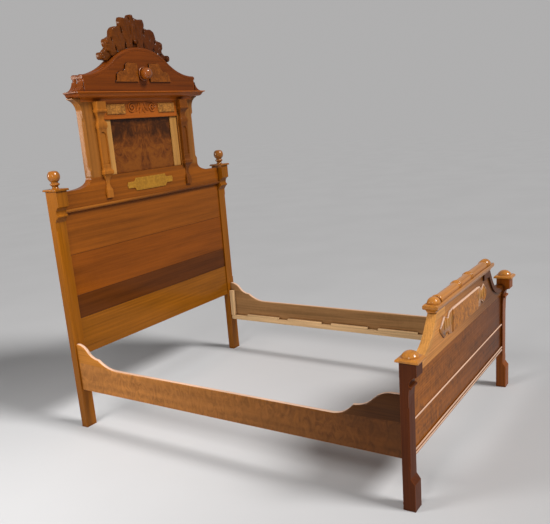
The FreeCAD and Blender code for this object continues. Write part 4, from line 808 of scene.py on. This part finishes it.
class BED_OT_cornice(bpy.types.Operator):
    """Cornice shelf, mitred mouldings, brackets and end coves"""
    bl_idname = "bed.cornice"
    bl_label = "Cornice"

    def execute(self, context):
        for part, tone, run in (("shelf", "cornice", "x"), ("front", "cornice", "x"),
                                ("return_left", "red", "y"), ("return_right", "red", "y"),
                                ("bed_mould", "cornice", "x"), ("brackets", "stile", "z"),
                                ("end_coves", "red", "y")):
            dress_all(context, (f"cornice_{part}", "moulding", tone, run))
        return {"FINISHED"}


class BED_OT_pediment(bpy.types.Operator):
    """Pediment board, its reeded edge, plaques and boss"""
    bl_idname = "bed.pediment"
    bl_label = "Pediment"

    def execute(self, context):
        dress_all(context, ("pediment_board", "board", "red", "x", 1.3),
                  ("pediment_edge_top", "moulding", "red"),
                  ("pediment_edge_ends", "moulding", "red", "z"))
        # The plaques' upright sides take the outline tone, a painted shadow round each plaque
        dress("pediment_plaques", finish(context, "bell"), context.scene.bed_sizes.plaque_edge,
              finish(context, "outline"), lambda face: face.normal.y > -0.9)
        dress_all(context, ("pediment_boss", "moulding", "boss", "y"))
        return {"FINISHED"}


class BED_OT_crest(bpy.types.Operator):
    """Carved crest: leaves in tiers round a narrow middle leaf, knobs and scroll ends"""
    bl_idname = "bed.crest"
    bl_label = "Crest"

    def execute(self, context):
        rise = context.scene.bed_sizes.leaf_rise
        low, high = corners("crest_carving")
        half, height = high.x, high.z - low.z

        def at(x_share, z_share):
            return (half * x_share, low.z + height * z_share)

        lean_start = at(0, 0.135)[1]
        lean_back = 18 * mm
        sunk_ground = -4 * mm
        ground = low.y + 11.5 * mm
        pole = (0, low.z - 136 * mm)

        def relief(place):
            """The highest of the leaves, knobs and scrolls over each place, leaning back to the top."""
            parts = [np.full(len(place), sunk_ground),
                     leaf_relief(place, at(0, 1.02), at(0, 0.36), 0, 24 * mm, rise * 1.3, 0, 0.4)]
            for hand in (1, -1):
                for root, tip, bow, width, share, lift, full in crest_leaves:
                    parts.append(leaf_relief(place, at(hand * root[0], root[1]), at(hand * tip[0], tip[1]),
                                             -hand * bow * mm, width * mm, rise * share, lift * mm, full))
                knob = at(hand * 0.76, 0.385)
                eye = at(hand * 0.93, 0.085)
                scroll = volute(eye, 16 * mm, 1.4, -hand, steps=90)
                parts += [bead_relief(place, [knob], 16 * mm, rise),
                          bead_relief(place, scroll, 6 * mm, 9 * mm),
                          bead_relief(place, [eye], 8 * mm, 10 * mm)]
            lean = lean_back * np.clip((place[:, 1] - lean_start) / (high.z - lean_start), 0, 1)
            return np.maximum.reduce(parts) - lean

        shape = carved_board("crest_carving", pole, ground, high.y, relief, notch=4 * mm, notches=15)
        keep(new_piece("crest_leaves", shape, finish(context, "carved", "x", 0.8), angle=carved_angle),
             "crest_carving")
        return {"FINISHED"}


class BED_OT_footboard(bpy.types.Operator):
    """Footboard panels, arched board, borders, rails and the turned roll"""
    bl_idname = "bed.footboard"
    bl_label = "Footboard"

    def execute(self, context):
        dress_all(context, ("foot_board_upper", "board", "foot", "x", 0.9),
                  ("arch_board", "board", "arch", "x", 2.1),
                  # Painted light and shade: the left border takes the paler tone, the right border the dark
                  # tone
                  ("foot_border_left", "moulding", "border", "x", 0.6),
                  ("foot_border_right", "moulding", "dark", "x", 0.6),
                  ("foot_top_rail", "moulding", "roll", "x", 1.2),
                  ("foot_top_roll", "moulding", "roll", "x", 1.4))
        bead_depth = 5 * mm
        for node, shift in (("foot_bottom_rail", 0.2), ("foot_board_lower", 0.0)):
            ground = corners(node)[0].y + bead_depth
            # The upper sides of the beads that stand off the front take a painted highlight, with some
            # rubbing
            dress(node, finish(context, "foot", "x", shift), context.scene.bed_sizes.moulding_edge,
                  finish(context, "worn"), lambda face: -0.998 < face.normal.y < -0.3
                  and face.normal.z > 0.15 and face.calc_center_median().y < ground)
        return {"FINISHED"}


class BED_OT_foot_posts(bpy.types.Operator):
    """Footboard posts and their caps"""
    bl_idname = "bed.foot_posts"
    bl_label = "Footboard posts"

    def execute(self, context):
        for side in sides:
            dress_all(context, (f"foot_post_{side}", "board", "foot_post", "z", 0.3),
                      (f"foot_cap_{side}", "moulding", "roll", "x", 1.2))
        return {"FINISHED"}


class BED_OT_foot_plaque(bpy.types.Operator):
    """Burl plaque on the footboard, with reeded fish-tail ends"""
    bl_idname = "bed.foot_plaque"
    bl_label = "Footboard plaque"

    def execute(self, context):
        sizes = context.scene.bed_sizes
        low, high = corners("foot_plaque")
        field, sunk = sizes.plaque_field, 3 * mm
        reed_middle = (low.z + high.z) / 2 + 8 * mm
        reed_lean = math.radians(3)
        worn = finish(context, "worn")

        def kept_between(start, end):
            """The part of the plaque between two widths, closed where it was sawn."""
            shape = solid_copy("foot_plaque")
            for place, facing in ((start, -1), (end, 1)):
                bmesh.ops.bisect_plane(shape, geom=shape.verts[:] + shape.edges[:] + shape.faces[:],
                                       plane_co=(place, 0, 0), plane_no=(facing, 0, 0), clear_outer=True)
            bmesh.ops.holes_fill(shape, edges=shape.edges)
            bmesh.ops.recalc_face_normals(shape, faces=shape.faces)
            for face in shape.faces:
                # Upward-facing faces and bevels take the pale tone: a painted highlight, with some rubbing
                face.material_index = int(face.normal.z > 0.2 and face.normal.y > -0.97)
            return shape

        ends = bmesh.new()
        for span in ((-high.x - mm, -field), (field, high.x + mm)):
            poured(ends, kept_between(*span))
        for vert in ends.verts:
            if vert.co.y < low.y + mm:
                vert.co.y += sunk
        for name, shape, wood in (("field", kept_between(-field, field), finish(context, "plaque")),
                                  ("ends", ends, finish(context, "roll", "z", 0.6))):
            piece = new_piece(f"foot_plaque.{name}", shape, wood, worn)
            soften(piece, sizes.moulding_edge)
            keep(piece, "foot_plaque")
        for side, hand in zip(sides, (-1, 1)):
            reed = turned_bar("reed", sizes.reed_length / 2, sizes.reed_width, sunk)
            reeds = row(f"foot_plaque.reeds_{side}", reed, sizes.reeds,
                        (hand * (field + sizes.reed_width), low.y + sunk, reed_middle),
                        (hand * sizes.reed_pitch, 0, 0), finish(context, "pale", "z", 0.3),
                        lean=hand * reed_lean)
            keep(reeds, "foot_plaque")
        return {"FINISHED"}


class BED_OT_side_rails(bpy.types.Operator):
    """Side rails with their pine ledgers, slat spacers and end blocks"""
    bl_idname = "bed.side_rails"
    bl_label = "Side rails"

    def execute(self, context):
        sizes = context.scene.bed_sizes
        tilted, flat = 0.3, 0.9     # parts of a face's normal: leaning to an axis, square to it
        spacer_length = 250 * mm    # the nearest even share of the ledger is taken
        for side, inward in zip(sides, (1, -1)):
            shape = solid_copy(f"side_rail_{side}")
            bmesh.ops.bisect_plane(shape, geom=shape.verts[:] + shape.edges[:] + shape.faces[:],
                                   plane_co=(0, 0, sizes.rail_seam), plane_no=(0, 0, 1))
            # Only the long arrises: the ends stay square against the posts
            arrises = [edge for edge in shape.edges
                       if max(face.normal.z for face in edge.link_faces) > tilted
                       and max(abs(face.normal.x) for face in edge.link_faces) > flat]
            bmesh.ops.bevel(shape, geom=arrises, offset=sizes.rail_round, segments=3, affect="EDGES",
                            profile=0.5)
            rail, bare, rail_end, worn = range(4)
            for face in shape.faces:
                above = face.calc_center_median().z > sizes.rail_seam
                face.material_index = rail_end if above else rail
                if face.normal.x * inward > tilted:
                    face.material_index = bare
                # Top faces take the pale tone: a painted highlight along the rail, with some rubbing
                elif face.normal.z > tilted and abs(face.normal.x) < tilted:
                    face.material_index = worn
            woods = [finish(context, tone, "y", shift) for tone, shift in (
                ("rail", 0.4), ("bare", 0.0), ("rail_end", 0.9), ("worn", 0.0))]
            piece = new_piece(f"side_rail_{side}.dressed", shape, *woods)
            soften(piece, sizes.board_edge)
            keep(piece, f"side_rail_{side}")
            dress_all(context, (f"slat_ledger_{side}", "board", "pine", "y"),
                      (f"end_blocks_{side}", "board", "pine", "z"))
            low, high = corners(f"slat_spacers_{side}")
            size = high - low
            blocks = round((size.y + sizes.slat_gap) / (spacer_length + sizes.slat_gap))
            size.y = (size.y + sizes.slat_gap) / blocks - sizes.slat_gap
            spacers = row(f"slat_spacers_{side}.row", block("spacer", size, sizes.board_edge), blocks,
                          low + size / 2, (0, size.y + sizes.slat_gap, 0), finish(context, "pine", "y"),
                          stray=(0, sizes.unevenness, 0))
            keep(spacers, f"slat_spacers_{side}")
        return {"FINISHED"}


class BED_OT_iron_hooks(bpy.types.Operator):
    """Cast hook plates in the rail ends and the pins in the posts"""
    bl_idname = "bed.iron_hooks"
    bl_label = "Iron hooks"

    def execute(self, context):
        for node in ("rail_hooks_left", "rail_hooks_right", "hook_pins"):
            dress_all(context, (node, "moulding", "iron"))
        return {"FINISHED"}


class BED_OT_stage(bpy.types.Operator):
    """Pale floor, soft lamps and the camera"""
    bl_idname = "bed.stage"
    bl_label = "Stage"

    def execute(self, context):
        scene = context.scene
        scene.view_settings.view_transform = "Standard"
        pale = tuple(scene.bed_colours.floor)
        ambient, sun, sun_height = 0.12, 2.8, math.radians(46.3)

        # Matt paint, hardly clouded, so that the floor takes shadows and no shine
        paint, tree, place = new_material("pale_painted_floor")
        grain = add(tree, "ShaderNodeTexNoise", {"Vector": place, "Scale": 1 / 0.9, "Detail": 3})
        tint = add(tree, "ShaderNodeValToRGB", {"Fac": grain},
                   ((0.35, shade(pale, 0.985)), (0.65, shade(pale, 1.015))))
        matt = add(tree, "ShaderNodeBsdfDiffuse", {"Color": tint})
        add(tree, "ShaderNodeOutputMaterial", {"Surface": matt})
        shape = bmesh.new()
        bmesh.ops.create_grid(shape, x_segments=1, y_segments=1, size=40)
        floor = new_piece("floor", shape, paint)

        # The backdrop that the camera and reflections see is as bright as the far floor
        world = bpy.data.worlds.new("studio")
        scene.world = world
        world.use_nodes = True
        tree = world.node_tree
        tree.nodes.clear()
        path = add(tree, "ShaderNodeLightPath").outputs
        seen = path["Is Camera Ray"]
        for other in ("Is Glossy Ray", "Is Transmission Ray"):
            seen = add(tree, "ShaderNodeMath", {0: seen, 1: path[other]}, operation="MAXIMUM")
        room = add(tree, "ShaderNodeBackground", {"Color": white, "Strength": ambient})
        far_floor = ambient + sun * math.sin(sun_height) / math.pi
        wall = add(tree, "ShaderNodeBackground", {"Color": shade(pale, 1.0), "Strength": far_floor})
        both = add(tree, "ShaderNodeMixShader", {0: seen, 1: room, 2: wall})
        add(tree, "ShaderNodeOutputWorld", {"Surface": both})

        for name, kind, place, aim, size, energy in (
                ("key", "AREA", (-2.3, 0.75, 2.1), (-0.4, 0.85, 1.1), 1.0, 42),
                ("glint", "AREA", (-3.3, -1.0, 2.4), (0, 0.3, 0.9), 0.5, 24),
                ("sheen", "AREA", (-3.0, 3.6, 2.1), (-0.5, 0.95, 2.0), 1.3, 80),
                ("front", "SUN", (0.5, -3.4, 3.6), (0, 0, 0), math.radians(18), sun)):
            lamp = bpy.data.lights.new(name, kind)
            lamp.energy = energy
            setattr(lamp, "size" if kind == "AREA" else "angle", size)
            holder = in_scene(name, lamp)
            holder.location = place
            holder.visible_camera = False
            # The key lamp is so near the posts that its reflection would burn out
            holder.visible_glossy = name != "key"
            if name == "sheen":
                # A warm glint along the left arrises and nothing else
                holder.visible_diffuse = False
                lamp.color = (1.0, 0.84, 0.7)
            holder.rotation_euler = (Vector(aim) - Vector(place)).to_track_quat("-Z", "Y").to_euler()

        lens = bpy.data.cameras.new("camera")
        lens.sensor_width = 36
        lens.lens = 43.78
        lens.shift_x = -0.0025
        lens.shift_y = 0.0518
        camera = in_scene("camera", lens)
        camera.location = (-3.101, -1.9535, 1.628)
        camera.rotation_euler = [math.radians(a) for a in (75.82, 4.37, -57.5)]
        scene.camera = camera
        return {"FINISHED"}


operators = (BED_OT_stage, BED_OT_headboard, BED_OT_head_posts, BED_OT_tower, BED_OT_frieze_carving,
             BED_OT_cornice, BED_OT_pediment, BED_OT_crest, BED_OT_footboard, BED_OT_foot_posts,
             BED_OT_foot_plaque, BED_OT_side_rails, BED_OT_iron_hooks)


class BED_PT_panel(bpy.types.Panel):
    """Sidebar panel of the bed"""
    bl_idname = "BED_PT_panel"
    bl_label = "Carved walnut bed"
    bl_space_type = "VIEW_3D"
    bl_region_type = "UI"
    bl_category = "Bed"

    def draw(self, context):
        for group in (context.scene.bed_sizes, context.scene.bed_colours):
            for name in group.__annotations__:
                self.layout.prop(group, name)
        for kind in operators:
            self.layout.operator(kind.bl_idname)


classes = (BedSizes, BedColours) + operators + (BED_PT_panel,)


def register():
    for kind in classes:
        bpy.utils.register_class(kind)
    bpy.types.Scene.bed_sizes = bpy.props.PointerProperty(type=BedSizes)
    bpy.types.Scene.bed_colours = bpy.props.PointerProperty(type=BedColours)


def unregister():
    del bpy.types.Scene.bed_sizes
    del bpy.types.Scene.bed_colours
    for kind in reversed(classes):
        bpy.utils.unregister_class(kind)


def main():
    register()
    for kind in operators:
        group, name = kind.bl_idname.split(".")
        getattr(getattr(bpy.ops, group), name)()


if __name__ == "__main__":
    main()
